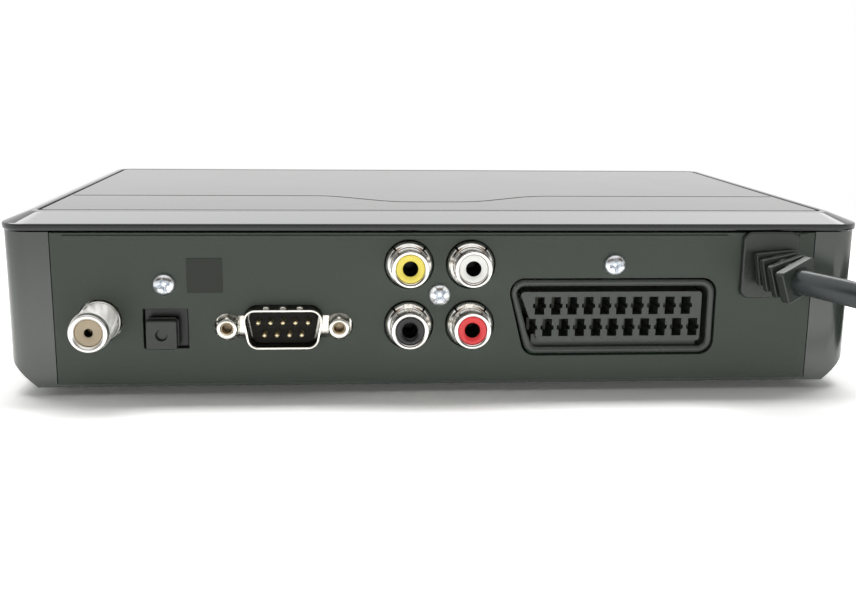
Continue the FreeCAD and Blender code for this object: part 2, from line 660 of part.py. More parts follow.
def make_rear_panel():
    plate = slab("panel_plate", "-panel_width / 2 + fit_gap", "panel_width / 2 - fit_gap",
                 "rear_y - panel_thickness", "rear_y", "panel_z", "wall_z - fit_gap")
    ridge = slab("panel_ridge_bar", "-panel_width * 0.38", "panel_width / 2 - 3", "rear_y - 0.5",
                 "rear_y + panel_ridge", "wall_z - 1.6", "wall_z - 0.7")
    deep = "panel_thickness + 2"
    through = lambda name, x, z, diameter: rod(name, x, "rear_y + 1", z, diameter, deep, "front")
    holes = [
        through("antenna_hole", "antenna_x", "antenna_z", "antenna_collar + 0.4"),
        block("optical_hole", "optical_x", "rear_y", "optical_z - optical_height / 2", "optical_width",
              "panel_thickness * 3", "optical_height"),
        serial_prism("serial_hole", "0.6", "rear_y + 1", deep),
        block("serial_ear_hole", "serial_x", "rear_y", "serial_z - 2.5", "jackscrew_spacing - 4.4",
              "panel_thickness * 3", "5"),
        scart_prism("scart_hole", "-0.5", "rear_y + 1", deep),
        block("gland_hole", "gland_x", "rear_y", "gland_z - (gland_neck + 2) / 2 - 0.2", "gland_neck + 0.4",
              "panel_thickness * 3", "gland_neck + 2.4"),
    ]
    for side in (-1, 1):
        holes.append(through(f"jackscrew_hole_{side + 1}", f"serial_x + ({side}) * jackscrew_spacing / 2",
                             "serial_z", "jackscrew_flats / cos(30) + 0.6"))
    for index, (x, z) in enumerate(jack_places):
        holes.append(through(f"jack_hole_{index}", x, z, "jack_ring + 0.5"))
    for index, (x, z) in enumerate(rear_screw_places):
        holes.append(through(f"rear_screw_hole_{index}", x, z, "panel_screw_shank + 0.6"))
    node("rear_panel", cut("rear_panel", join("panel_solid", [plate, ridge]), holes))


jack_places = [(f"jacks_x + ({side}) * jack_pitch / 2", f"jacks_z + ({level}) * jack_pitch / 2")
               for level in (1, -1) for side in (1, -1)]
rear_screw_places = [("optical_x", "optical_z + optical_screw_rise"), ("jacks_x", "jacks_z"),
                     ("scart_x - 0.3", "scart_z + scart_screw_rise")]


def serial_prism(name, grow, start, length):
    """The serial plug's outline, wider at the top, grown outwards by an amount."""
    top = f"serial_width / 2 + ({grow})"
    low = f"serial_width / 2 - serial_slant + ({grow})"
    tall = f"serial_height / 2 + ({grow})"
    points = [(f"serial_x - ({low})", f"serial_z - ({tall})"), (f"serial_x + ({low})", f"serial_z - ({tall})"),
              (f"serial_x + ({top})", f"serial_z + ({tall})"), (f"serial_x - ({top})", f"serial_z + ({tall})")]
    return prism(name, "XZ_Plane", points, start, length, f"serial_round + ({grow})")


def scart_prism(name, inset, start, length):
    """The large socket's outline, drawn in by an amount; its slanted side looks to +X."""
    left, right = f"scart_x - scart_width / 2 + ({inset})", f"scart_x + scart_width / 2 - ({inset})"
    low, high = f"scart_z - scart_height / 2 + ({inset})", f"scart_z + scart_height / 2 - ({inset})"
    points = [(left, low), (f"{right} - scart_slant", low), (right, high), (left, high)]
    return prism(name, "XZ_Plane", points, start, length, f"scart_round - ({inset}) * 0.8")


def make_scart():
    face = "rear_y - 0.4"
    outer = scart_prism("scart_outer", "0", face, "scart_depth")
    ditch = scart_prism("scart_ditch", "scart_ring", "rear_y + 1", "scart_channel_depth + 1.4")
    insert = scart_prism("scart_insert", "scart_ring + scart_channel", "rear_y + 2",
                         "scart_channel_depth + 3")
    channel = cut("scart_channel_ring", ditch, [insert])
    foot = slab("scart_foot", "scart_x - scart_width / 2 + 3", "scart_x + scart_width / 2 - 6",
                "rear_y - scart_depth", "panel_back_y - 0.2", "board_z", "scart_z")
    boss = rod("scart_screw_boss", "scart_x - 0.3", "panel_back_y - 0.1", "scart_z + scart_screw_rise",
               "7", "8", "front")
    web = block("scart_screw_web", "scart_x - 0.3", "panel_back_y - 4.1",
                "scart_z + scart_height / 2 - 1", "4", "8", "4.7")
    slots = []
    contacts = []
    for row, count in ((1, 10), (-1, 11)):
        for index in range(count):
            x = f"scart_x - 0.5 + ({index} - ({count} - 1) / 2) * contact_pitch"
            z = f"scart_z + ({row}) * contact_row / 2"
            tag = f"{'top' if row > 0 else 'low'}_{index}"
            slots.append(block(f"slot_{tag}", x, f"{face} - slot_depth / 2 + 0.5",
                               f"{z} - slot_height / 2", "slot_width", "slot_depth + 1", "slot_height"))
            slots.append(block(f"slot_arm_{tag}", x, f"{face} - slot_depth / 2 + 0.5", f"{z} - 0.5",
                               "slot_arm", "slot_depth + 1", "1"))
            y = f"{face} - contact_recess - slot_depth / 2 - 0.5"
            low = f"{z} - slot_height * 0.36"
            size = ("slot_width * 0.36", "slot_depth + 1", "slot_height * 0.72")
            slots.append(block(f"blade_seat_{tag}", x, y, low, *size))
            contacts.append(block(f"blade_{tag}", x, y, low, *size))
    slots.append(rod("scart_screw_pilot", "scart_x - 0.3", "rear_y", "scart_z + scart_screw_rise",
                     "panel_screw_shank + 0.2", "panel_screw_length + 2", "front"))
    solid = cut("scart_body", outer, [channel])
    node("scart_housing", cut("scart_housing", join("scart_solid", [solid, foot, boss, web]), slots))
    node("scart_contacts", join("scart_contacts", contacts))


def make_antenna():
    tip = "rear_y + antenna_reach"
    collar = rod("antenna_collar_disc", "antenna_x", "panel_back_y", "antenna_z", "antenna_collar",
                 "rear_y - panel_back_y + 1", "rear")
    stem = rod("antenna_stem", "antenna_x", "rear_y", "antenna_z", "antenna_thread - 0.7",
               "antenna_reach - 1.2", "rear")
    end = taper("antenna_end", "antenna_x", f"{tip} - 1.3", "antenna_z", "antenna_thread - 0.5",
                "antenna_tip", "1.3", "rear")
    pieces = [collar, stem, end]
    for index in range(9):
        y = f"rear_y + 1.6 + {index} * (antenna_reach - 3.2) / 9"
        pieces.append(taper(f"thread_rise_{index}", "antenna_x", y, "antenna_z", "antenna_thread - 0.7",
                            "antenna_thread", "0.4", "rear"))
        pieces.append(taper(f"thread_fall_{index}", "antenna_x", f"{y} + 0.4", "antenna_z",
                            "antenna_thread", "antenna_thread - 0.7", "0.4", "rear"))
    bore = rod("antenna_bore_hole", "antenna_x", f"{tip} + 1", "antenna_z", "antenna_bore",
               "antenna_reach + panel_thickness + 2", "front")
    lead = taper("antenna_lead_in", "antenna_x", f"{tip} - 0.5", "antenna_z", "antenna_bore",
                 "antenna_bore + 1.1", "0.51", "rear")
    node("antenna_barrel", cut("antenna_barrel", join("antenna_solid", pieces), [bore, lead]))
    core = rod("antenna_core", "antenna_x", "panel_back_y", "antenna_z", "antenna_bore",
               f"({tip}) - panel_back_y - 0.7", "rear")
    eye = rod("antenna_eye", "antenna_x", f"{tip}", "antenna_z", "1.3", "6", "front")
    funnel = taper("antenna_funnel", "antenna_x", f"{tip} - 1.3", "antenna_z", "1.3", "2.2", "0.62", "rear")
    node("antenna_insulator", cut("antenna_insulator", core, [eye, funnel]))

    left, right, back = "antenna_x - 9.2", "antenna_x + 6.4", "panel_back_y - 46"
    can = slab("can_outer", left, right, back, "panel_back_y - fit_gap", "board_z", "board_z + 15.5")
    hollow = slab("can_inner", f"{left} + 0.5", f"{right} - 0.5", f"{back} + 0.5",
                  "panel_back_y - fit_gap - 0.5", "board_z - 1", "board_z + 15")
    node("tuner_can", cut("tuner_can", can, [hollow]))


def make_optical():
    low = "optical_z - optical_height / 2"
    face = "panel_back_y + 0.9"
    body = slab("optical_body", "optical_x - optical_width / 2 + 0.2", "optical_x + optical_width / 2 - 0.2",
                "panel_back_y - 11", face, f"{low} + 0.2", "optical_z + optical_height / 2 - 0.2")
    stand = slab("optical_stand", "optical_x - optical_width / 2 + 0.2",
                 "optical_x + optical_width / 2 - 0.2", "panel_back_y - 11", "panel_back_y - 0.1", "board_z",
                 f"{low} + 0.3")
    post = slab("optical_post", "optical_x - 4", "optical_x + 4", "panel_back_y - 10",
                "panel_back_y - 0.1", "optical_z + optical_height / 2 - 0.3", "optical_z + 14.2")
    cavity = block("optical_cavity", "dust_x", f"{face} - dust_plug_depth / 2 + 0.5",
                   "dust_z - dust_plug_shank / 2 - running_gap", "dust_plug_shank + 2 * running_gap",
                   "dust_plug_depth + 1", "dust_plug_shank + 2 * running_gap")
    pilot = rod("optical_pilot", "optical_x", "rear_y", "optical_z + optical_screw_rise", "panel_screw_shank + 0.2",
                "panel_screw_length + 3", "front")
    lens_seat = rod("optical_lens_seat", "dust_x", "panel_back_y - 9.5", "dust_z", "2.4", "4", "rear")
    node("optical_socket", cut("optical_socket", join("optical_solid", [body, stand, post]),
                               [cavity, pilot, lens_seat]))
    node("optical_emitter", rod("optical_emitter", "dust_x", "panel_back_y - 9.5", "dust_z", "2.4", "2.6",
                                "rear"))

    flange = block("dust_flange", "dust_x", f"{face} + 0.1 + 0.6", "dust_z - dust_plug_flange / 2",
                   "dust_plug_flange", "1.2", "dust_plug_flange")
    grip = block("dust_grip", "dust_x", f"({face} + rear_y + dust_plug_reach) / 2 + 0.3",
                 "dust_z - dust_plug_face / 2", "dust_plug_face",
                 f"rear_y + dust_plug_reach - ({face}) - 0.6", "dust_plug_face")
    shank = block("dust_shank", "dust_x", f"{face} - dust_plug_depth / 2 + 0.5",
                  "dust_z - dust_plug_shank / 2", "dust_plug_shank", "dust_plug_depth",
                  "dust_plug_shank")
    dimple = rod("dust_dimple", "dust_x", "rear_y + dust_plug_reach - 0.5", "dust_z", "2.4", "1", "rear")
    node("dust_plug", cut("dust_plug", join("dust_solid", [flange, grip, shank]), [dimple]))


def make_serial():
    rim = "rear_y + serial_reach"
    outer = serial_prism("serial_outer", "0", rim, "serial_reach + panel_thickness + fit_gap")
    inner = serial_prism("serial_inner", "-serial_wall", "rear_y + serial_reach + 1",
                         "serial_reach + panel_thickness + 3")
    flange = block("serial_flange", "serial_x", "panel_back_y - 0.4", "serial_z - 6.25",
                   "jackscrew_spacing + 5.8", "0.8", "12.5")
    solid = [outer, flange]
    for index in (-1, 0, 1):
        solid.append(rod(f"serial_bump_{index + 1}", f"serial_x + ({index}) * 3.75", "rear_y + 2.3",
                         "serial_z + serial_height / 2 - 0.2", "1.5", "0.65"))
    holes = [inner]
    for side in (-1, 1):
        holes.append(rod(f"serial_flange_hole_{side + 1}", f"serial_x + ({side}) * jackscrew_spacing / 2",
                         "panel_back_y + 1", "serial_z", "3.2", "4", "front"))
    node("serial_shell", cut("serial_shell", join("serial_solid", solid), holes))

    core = serial_prism("serial_core", "-serial_wall - 0.05", "rear_y - 0.4",
                        "panel_thickness + fit_gap + 0.8")
    back = slab("serial_back", "serial_x - 10.5", "serial_x + 10.5", "panel_back_y - 12",
                "panel_back_y - 0.8", "board_z", "serial_z + 6")
    holes = []
    pins = []
    for row, count in ((1, 5), (-1, 4)):
        for index in range(count):
            x = f"serial_x + ({index} - ({count} - 1) / 2) * pin_pitch"
            z = f"serial_z + ({row}) * pin_row / 2"
            tag = f"{'top' if row > 0 else 'low'}_{index}"
            stem = rod(f"pin_{tag}", x, "panel_back_y - 6", z, "pin_diameter", "rear_y - panel_back_y + serial_reach + 5",
                       "rear")
            tip = taper(f"pin_tip_{tag}", x, "rear_y + serial_reach - 1", z, "pin_diameter", "pin_diameter * 0.4", "0.6",
                        "rear")
            pins.append(join(f"pin_solid_{tag}", [stem, tip]))
            holes.append(rod(f"pin_hole_{tag}", x, "panel_back_y - 6", z, "pin_diameter",
                             "rear_y - panel_back_y + 8", "rear"))
    node("serial_insulator", cut("serial_insulator", join("serial_block", [core, back]), holes))
    node("serial_pins", join("serial_pins", pins))

    screws = []
    for side in (-1, 1):
        x = f"serial_x + ({side}) * jackscrew_spacing / 2"
        body = hexagon(f"jackscrew_hex_{side + 1}", x, "panel_back_y", "serial_z", "jackscrew_flats",
                       "rear_y - panel_back_y + jackscrew_reach - 0.5", "rear")
        end = taper(f"jackscrew_end_{side + 1}", x, "rear_y + jackscrew_reach - 0.5", "serial_z",
                    "jackscrew_flats", "jackscrew_flats - 0.7", "0.5", "rear")
        shank = rod(f"jackscrew_shank_{side + 1}", x, "panel_back_y", "serial_z", "2.8", "5", "front")
        bore = rod(f"jackscrew_bore_{side + 1}", x, "rear_y + jackscrew_reach + 1", "serial_z",
                   "jackscrew_bore", "jackscrew_depth + 1", "front")
        screws.append(cut(f"jackscrew_{side + 1}", join(f"jackscrew_solid_{side + 1}", [body, end, shank]),
                          [bore]))
    node("jackscrews", join("jackscrews", screws))


def make_jacks():
    face = "panel_back_y - 0.1"
    block_top = "jacks_z + jack_pitch / 2 + jack_ring / 2 + 0.9"
    half = "jack_pitch / 2 + jack_ring / 2 + 1"
    body = slab("jack_body", f"jacks_x - ({half})", f"jacks_x + {half}", f"{face} - jack_block_depth", face,
                "board_z", block_top)
    pilot = rod("jack_pilot", "jacks_x", "rear_y", "jacks_z", "panel_screw_shank + 0.2",
                "panel_screw_length + 2", "front")
    node("jack_block", cut("jack_block", body, [pilot]))
    cups = []
    contacts = []
    colours = ("yellow", "white", "black", "red")
    for colour, (x, z) in zip(colours, jack_places):
        ring = rod(f"jack_base_{colour}", x, face, z, "jack_ring", f"rear_y + 0.5 - ({face})", "rear")
        lip = taper(f"jack_base_lip_{colour}", x, "rear_y + 0.5", z, "jack_ring", "jack_ring - 1.4", "0.6",
                    "rear")
        barrel = rod(f"jack_barrel_{colour}", x, "rear_y", z, "jack_barrel", "jack_reach - 0.4", "rear")
        end = taper(f"jack_barrel_end_{colour}", x, "rear_y + jack_reach - 0.4", z, "jack_barrel",
                    "jack_barrel - 0.6", "0.4", "rear")
        bore = rod(f"jack_bore_{colour}", x, "rear_y + jack_reach + 1", z, "jack_insert", "jack_reach + 8",
                   "front")
        cups.append(cut(f"jack_cup_{colour}", join(f"jack_cup_solid_{colour}", [ring, lip, barrel, end]),
                        [bore]))
        core = rod(f"jack_core_{colour}", x, face, z, "jack_insert",
                   f"rear_y + jack_reach - 0.3 - ({face})", "rear")
        hole = rod(f"jack_eye_{colour}", x, "rear_y + jack_reach + 1", z, "jack_hole", "jack_reach + 2",
                   "front")
        node(f"jack_ring_{colour}", cut(f"jack_ring_{colour}", core, [hole]))
        tube = rod(f"jack_spring_{colour}", x, "rear_y - 1", z, "jack_hole", "3.5", "rear")
        slit = rod(f"jack_spring_bore_{colour}", x, "rear_y - 2", z, "jack_hole - 0.9", "6", "rear")
        contacts.append(cut(f"jack_contact_{colour}", tube, [slit]))
    node("jack_cups", join("jack_cups", cups))
    node("jack_contacts", join("jack_contacts", contacts))


# Front buttons from left to right as seen from the front
front_buttons = [("channel_down_button", -1), ("channel_up_button", 0), ("power_button", 1)]


def make_front():
    face, back = "front_y", "front_y + fascia_thickness"
    plate = slab("fascia_plate", "-panel_width / 2 + fit_gap", "panel_width / 2 - fit_gap", face, back,
                 "panel_z", "wall_z - fit_gap")
    holes = [
        block("window_seat", "window_x", "front_y + window_thickness / 2 - 0.5",
              "middle_z - window_height / 2 - fit_gap", "window_width + 2 * fit_gap", "window_thickness + 1",
              "window_height + 2 * fit_gap"),
        block("window_light", "window_x", "front_y", "middle_z - window_height / 2 + 2",
              "window_width - 4", "fascia_thickness * 3", "window_height - 4"),
        rod("led_hole", "led_x", "front_y - 1", "middle_z", "3.2", "fascia_thickness + 2", "rear"),
    ]
    bosses = []
    for index, (x, z) in enumerate(fascia_boss_places):
        bosses.append(rod(f"fascia_boss_{index}", x, f"{back} - 0.1", z, "standoff_diameter",
                          "front_gap + 0.1", "rear"))
        holes.append(rod(f"fascia_boss_hole_{index}", x, f"{back} + front_gap + 1", z,
                         "board_screw_shank + 0.2", "front_gap", "front"))
    for name, step in front_buttons:
        x = f"button_x + ({step}) * button_pitch"
        holes.append(rod(f"{name}_hole", x, "front_y - 1", "middle_z", "button_diameter + 2 * running_gap",
                         "fascia_thickness + 2", "rear"))
        cap = rod(f"{name}_cap", x, "front_y - button_reach + 0.5", "middle_z", "button_diameter",
                  "button_reach + fascia_thickness + 0.1 - 0.5 + 0.5", "rear")
        edge = taper(f"{name}_edge", x, "front_y - button_reach", "middle_z", "button_diameter - 1",
                     "button_diameter", "0.5", "rear")
        collar = rod(f"{name}_collar", x, f"{back} + 0.1", "middle_z", "button_diameter + 2.6", "1.3",
                     "rear")
        stem = rod(f"{name}_stem", x, f"{back} + 1", "middle_z", "4",
                   "front_gap - 1 - switch_reach - button_travel - 0.15", "rear")
        node(name, join(name, [cap, edge, collar, stem]))
    node("front_fascia", cut("front_fascia", join("fascia_solid", [plate] + bosses), holes))
    node("display_window", block("display_window", "window_x", "front_y + window_thickness / 2",
                                 "middle_z - window_height / 2", "window_width", "window_thickness",
                                 "window_height"))

    board = slab("front_board_plate", "window_x - window_width / 2 - 6", "button_x + button_pitch + 12",
                 "front_board_y", "front_board_y + board_thickness", "middle_z - 13", "middle_z + 13")
    drill = [rod(f"front_board_hole_{index}", x, "front_board_y - 1", z, "board_screw_shank + 0.6",
                 "board_thickness + 2", "rear") for index, (x, z) in enumerate(fascia_boss_places)]
    node("front_board", cut("front_board", board, drill))
    node("display_module", slab("display_module", "window_x - 26", "window_x + 26",
                                "front_board_y - front_gap + 0.3", "front_board_y", "middle_z - 7",
                                "middle_z + 7"))
    led = [rod("led_body", "led_x", "front_y + 0.4", "middle_z", "2.9", "front_board_y - front_y - 0.4",
               "rear")]
    node("status_led", join("status_led", led))
    eye = [block("eye_body", "window_x + 31", "front_board_y - 1.6", "middle_z - 3", "5.6", "3.2", "6"),
           rod("eye_dome", "window_x + 31", "front_board_y - 3", "middle_z + 0.4", "4.2", "1.6", "front")]
    node("ir_receiver", join("ir_receiver", eye))
    keys = []
    for name, step in front_buttons:
        x = f"button_x + ({step}) * button_pitch"
        case = block(f"{name}_switch", x, "front_board_y - (switch_reach - 1) / 2", "middle_z - 3", "6",
                     "switch_reach - 1", "6")
        nub = rod(f"{name}_nub", x, "front_board_y - switch_reach + 1", "middle_z", "3.4", "1", "front")
        keys.append(join(f"{name}_key", [case, nub]))
    node("key_switches", join("key_switches", keys))


fascia_boss_places = [("window_x - window_width / 2 - 2", "middle_z - 9"),
                      ("window_x + window_width / 2 + 4", "middle_z + 9"),
                      ("button_x + button_pitch + 8", "middle_z - 9")]


def make_boards():
    drills = {"main": [], "power": []}
    for index, (x, y) in enumerate(board_screw_places):
        side = "main" if index < 4 else "power"
        drills[side].append(rod(f"{side}_drill_{index}", x, y, "board_z - board_thickness - 1",
                                "board_screw_shank + 0.6", "board_thickness + 2"))
    for side, name in ((-1, "power"), (1, "main")):
        drills[name].append(rod(f"{name}_boss_clear", f"({side}) * boss_x", "boss_rear_y",
                                "board_z - board_thickness - 1", "boss_diameter + 1.6",
                                "board_thickness + 2"))
    for side in ("main", "power"):
        plate = slab(f"{side}_board_plate", f"{side}_left_x", f"{side}_right_x", f"{side}_front_y",
                     "panel_back_y - 0.2", "board_z - board_thickness", "board_z")
        node(f"{side}_board", cut(f"{side}_board", plate, drills[side]))

    # Main board: picture chip with its cooler, memories and capacitors
    node("main_chip", block("main_chip", "chip_x", "chip_y", "board_z", "27", "27", "2.2"))
    cooler = [block("cooler_base", "chip_x", "chip_y", "board_z + 2.2", "30", "30", "2")]
    for index in range(8):
        cooler.append(block(f"cooler_fin_{index}", f"chip_x + ({index} - 3.5) * 4", "chip_y",
                            "board_z + 4.1", "1.2", "30", "9"))
    node("chip_cooler", join("chip_cooler", cooler))
    node("memory_chips", join("memory_chips", [
        block(f"memory_{index}", "chip_x - 34", f"chip_y + ({index} - 0.5) * 17", "board_z", "22.2", "10.2",
              "1.2") for index in range(2)]))
    cans = []
    for index, (x, y) in enumerate([(26, 12), (26, 2), (26, -8), (34, 12), (34, -12), (-54, 13)]):
        cans.append(rod(f"board_can_{index}", f"chip_x + {x}", f"chip_y + ({y})", "board_z", "6.3", "8"))
    node("board_capacitors", join("board_capacitors", cans))

    # Power board: fuse, line choke, storage capacitor, transformer and output capacitors
    middle = "(power_left_x + power_right_x) / 2"
    fuse = [rod("fuse_glass", "power_left_x + 6", "panel_back_y - 20", "board_z + 4", "5", "16", "rear")]
    for index, y in enumerate(("panel_back_y - 22", "panel_back_y - 6.5")):
        fuse.append(rod(f"fuse_cap_{index}", "power_left_x + 6", y, "board_z + 4", "5.6", "4.5", "rear"))
        fuse.append(block(f"fuse_clip_{index}", "power_left_x + 6", f"{y} + 2.25", "board_z", "3", "3", "2"))
    node("fuse", join("fuse", fuse))
    choke = document.addObject("Part::Torus", "line_choke")
    choke.Placement = FreeCAD.Placement(FreeCAD.Vector(), turns["front"])
    bind(choke, Radius1="5.8", Radius2="3")
    put(choke, middle, "power_front_y + 58", "board_z + 8.8")
    node("line_choke", choke)
    node("storage_capacitor", rod("storage_capacitor", "power_right_x - 7", "power_front_y + 46", "board_z",
                                  "12.5", "23"))
    sink = [slab("sink_plate", "power_left_x + 2", "power_left_x + 4", "power_front_y + 42",
                 "power_front_y + 56", "board_z", "board_z + 20"),
            slab("sink_foot", "power_left_x + 2", "power_left_x + 9", "power_front_y + 42",
                 "power_front_y + 56", "board_z + 18", "board_z + 20")]
    node("power_cooler", join("power_cooler", sink))
    core = block("core_outer", middle, "power_front_y + 19", "board_z + 3", "22", "18", "16")
    gap = block("core_inner", middle, "power_front_y + 19", "board_z + 6.5", "15", "30", "9")
    node("transformer_core", cut("transformer_core", core, [gap]))
    coil = [block("coil_winding", middle, "power_front_y + 19", "board_z + 6.5", "15", "22", "9"),
            block("coil_foot_front", middle, "power_front_y + 9", "board_z", "15", "2", "6.6"),
            block("coil_foot_rear", middle, "power_front_y + 29", "board_z", "15", "2", "6.6")]
    node("transformer_winding", join("transformer_winding", coil))
    node("output_capacitor", rod("output_capacitor", "power_left_x + 14", "power_front_y + 4.2", "board_z",
                                 "7", "14"))


def bent_tube(points, radii, diameter):
    """A round tube along straight runs with an arc at each inner point."""
    edges = []
    last = points[0]
    for before, here, after, radius in zip(points, points[1:], points[2:], radii):
        arriving, leaving = (here - before).normalize(), (after - here).normalize()
        turn = arriving.getAngle(leaving)
        trim = radius * math.tan(turn / 2)
        inward = (leaving - arriving).normalize()
        middle = here + inward * (radius / math.cos(turn / 2) - radius)
        first, second = here - arriving * trim, here + leaving * trim
        edges.append(Part.LineSegment(last, first).toShape())
        edges.append(Part.Arc(first, middle, second).toShape())
        last = second
    edges.append(Part.LineSegment(last, points[-1]).toShape())
    path = Part.Wire(edges)
    section = Part.Wire(Part.makeCircle(diameter / 2, points[0], points[1] - points[0]))
    return path, path.makePipeShell([section], True, False)


def feature(name, shape, place=None):
    item = document.addObject("Part::Feature", name)
    item.Shape = shape
    item.Placement = place or FreeCAD.Placement()
    return item


def make_wires():
    """Supply wires from board to board, mains wires from the entry, and the flat cable to the front."""
    wires = []
    left, right = number("power_right_x - 2.4"), number("main_left_x + 2.4")
    low, rise = number("board_z"), 4.5
    for index in range(4):
        y = number("power_front_y + 34") + index * 2.2
        radius = (right - left) / 2 - 0.01
        corners = [(left, low), (left, low + rise + radius), (right, low + rise + radius), (right, low)]
        points = [FreeCAD.Vector(x, y, z) for x, z in corners]
        wires.append(bent_tube(points, [radius] * 2, 1.5)[1])
    node("supply_wires", feature("supply_wires", Part.Compound(wires)))

    wires = []
    for side in (-1, 1):
        x, z = number("gland_x") + side * 1.7, number("gland_z")
        start = number("panel_back_y - 2.6")
        points = [FreeCAD.Vector(x, start, z), FreeCAD.Vector(x, start - 8, z),
                  FreeCAD.Vector(x, start - 8, low)]
        wires.append(bent_tube(points, [6], 2.3)[1])
    node("mains_wires", feature("mains_wires", Part.Compound(wires)))

    y1, y2 = "main_front_y + 6", "front_board_y + board_thickness"
    low, high = "board_z + 5", "middle_z + 2"
    points = [(f"{y1} - 0.3", low), (f"{y1} + 0.3", low), (f"{y1} + 0.3", f"{high} + 0.3"),
              (f"{y2} + 4", f"{high} + 0.3"), (f"{y2} + 4", f"{high} - 0.3"), (f"{y1} - 0.3", f"{high} - 0.3")]
    strip = document.addObject("PartDesign::Body", "flat_cable")
    drawing = outline(strip, "flat_cable_outline", "YZ_Plane", points, "chip_x - 12")
    pad = strip.newObject("PartDesign::Pad", "flat_cable_pad")
    pad.Profile = drawing
    bind(pad, Length="24")
    node("flat_cable", strip)
    node("flat_cable_sockets", join("flat_cable_sockets", [
        slab("socket_low", "chip_x - 14", "chip_x + 14", f"{y1} - 2.5", f"{y1} + 2.5", "board_z", low),
        slab("socket_high", "chip_x - 14", "chip_x + 14", y2, f"{y2} + 4", f"{high} - 2.5",
             f"{high} + 2.5")]))


def make_screws():
    length = "panel_screw_length"
    node("rear_screws", join("rear_screws", [
        screw(f"rear_screw_{index}", x, "rear_y", z, "rear", "panel_screw_head", "panel_screw_shank", length)
        for index, (x, z) in enumerate(rear_screw_places)]))
    node("cover_screws", join("cover_screws", [
        screw(f"cover_screw_{end}_{side + 1}", f"({side}) * boss_x", f"boss_{end}_y", "boss_z - boss_seat",
              "down", "cover_screw_head", "cover_screw_shank", "cover_screw_length")
        for side, end in four_corners]))
    pieces = [screw(f"board_screw_{index}", x, y, "board_z", "up", "board_screw_head", "board_screw_shank",
                    "board_screw_length") for index, (x, y) in enumerate(board_screw_places)]
    pieces += [screw(f"front_screw_{index}", x, "front_board_y + board_thickness", z, "rear",
                     "board_screw_head", "board_screw_shank", "board_screw_length")
               for index, (x, z) in enumerate(fascia_boss_places)]
    node("board_screws", join("board_screws", pieces))
    node("rear_sticker", slab("rear_sticker", "sticker_x - 3.95", "sticker_x + 3.95", "rear_y",
                              "rear_y + 0.15", "base_z + 21.65", "base_z + 29.55"))


def rounded_box(width, depth, height, rounding):
    """A box round the origin with its four edges along Y rounded."""
    box = Part.makeBox(width, depth, height, FreeCAD.Vector(-width / 2, -depth, -height / 2))
    edges = [edge for edge in box.Edges if along(edge, FreeCAD.Vector(0, 1, 0))]
    return box.makeFillet(rounding, edges)


def relief_place(share):
    """Where the cable guard's axis is, and how it is turned, a share of the way out."""
    bend = share ** 2.5
    spot = FreeCAD.Vector(number("gland_x") - number("relief_side") * bend
                          - number("relief_lean") * (1 - share),
                          number("rear_y") + number("gland_plate")
                          + (number("relief_reach") - number("gland_plate")) * share,
                          number("gland_z") - number("relief_drop") * share)
    turn = FreeCAD.Rotation(FreeCAD.Vector(0, 0, 1), number("relief_turn") * share)
    roll = FreeCAD.Rotation(FreeCAD.Vector(0, 1, 0), number("relief_roll") * share)
    return FreeCAD.Placement(spot, turn * roll)


def make_relief():
    plate, rear = number("gland_plate"), number("rear_y")
    x, z = number("gland_x"), number("gland_z")
    neck = number("gland_neck")
    shift = lambda y: FreeCAD.Placement(FreeCAD.Vector(x, y, z), FreeCAD.Rotation())
    flange = rounded_box(number("gland_width"), plate, number("gland_height"), number("gland_round"))
    flange.Placement = shift(rear + plate)
    reach = plate + number("panel_thickness + fit_gap") + 2.6
    throat = rounded_box(neck, reach, neck + 2, 1)
    throat.Placement = shift(rear + plate)
    lock = rounded_box(neck + 3.6, 2.2, neck + 5.2, 1.5)
    lock.Placement = shift(number("panel_back_y - 0.2"))
    pieces = [throat, lock]
    ribs = 4
    centres = [FreeCAD.Vector(x, rear + plate - 0.5, z)]
    for index in range(1, ribs + 1):
        share = index / ribs
        thick = number("relief_end") if index == ribs else number("relief_rib")
        wide = number("relief_width") + number("relief_growth") * share ** 2
        rib = rounded_box(wide, thick, number("relief_height"), number("relief_round"))
        place = relief_place(share)
        rib.Placement = place
        pieces.append(rib)
        centres.append(place.multVec(FreeCAD.Vector(0, -thick / 2, 0)))
    for start, end in zip(centres, centres[1:]):
        pieces.append(Part.makeCylinder(number("relief_core") / 2, (end - start).Length, start, end - start))
    node("strain_relief", feature("strain_relief", flange.multiFuse(pieces).removeSplitter()))


# The lead's route from the cable guard to the coil, in millimetres
cord_route = [
    (-83.6, 72.3, 27.7),
    (-92.0, 80.1, 26.2),
    (-102.6, 85.9, 22.9),
    (-114.5, 89.6, 17.8),
    (-127.5, 91.2, 11.5),
    (-141.4, 91.4, 5.8),
    (-156.1, 90.9, 2.81),
    (-170.6, 90.9, 2.81),
]
coil_centre = FreeCAD.Vector(-176.2, 49, 2.81)
coil_turns = 2.889


def lowest(shape):
    return shape.optimalBoundingBox(False, False).ZMin


def make_cord():
    start = relief_place(1).Base
    points = [start] + [FreeCAD.Vector(*spot) for spot in cord_route]
    runs = [(b - a).Length for a, b in zip(points, points[1:])]
    radii = []
    for before, here, after in zip(points, points[1:], points[2:]):
        turn = (here - before).getAngle(after - here)
        shorter = min((here - before).Length, (after - here).Length)
        radii.append(0.45 * shorter / math.tan(turn / 2))
    diameter = number("cord_diameter")
    path, tube = bent_tube(points, radii, diameter)
    area = math.pi * diameter ** 2 / 4
    print("lead: runs", [round(run, 1) for run in runs], "radii", [round(r, 1) for r in radii])
    print(f"lead: length {path.Length:.1f}, lowest {lowest(tube):.3f}, "
          f"volume over section times length {tube.Volume / area / path.Length:.5f}")
    node("mains_cord", feature("mains_cord", tube))
    return path.Length


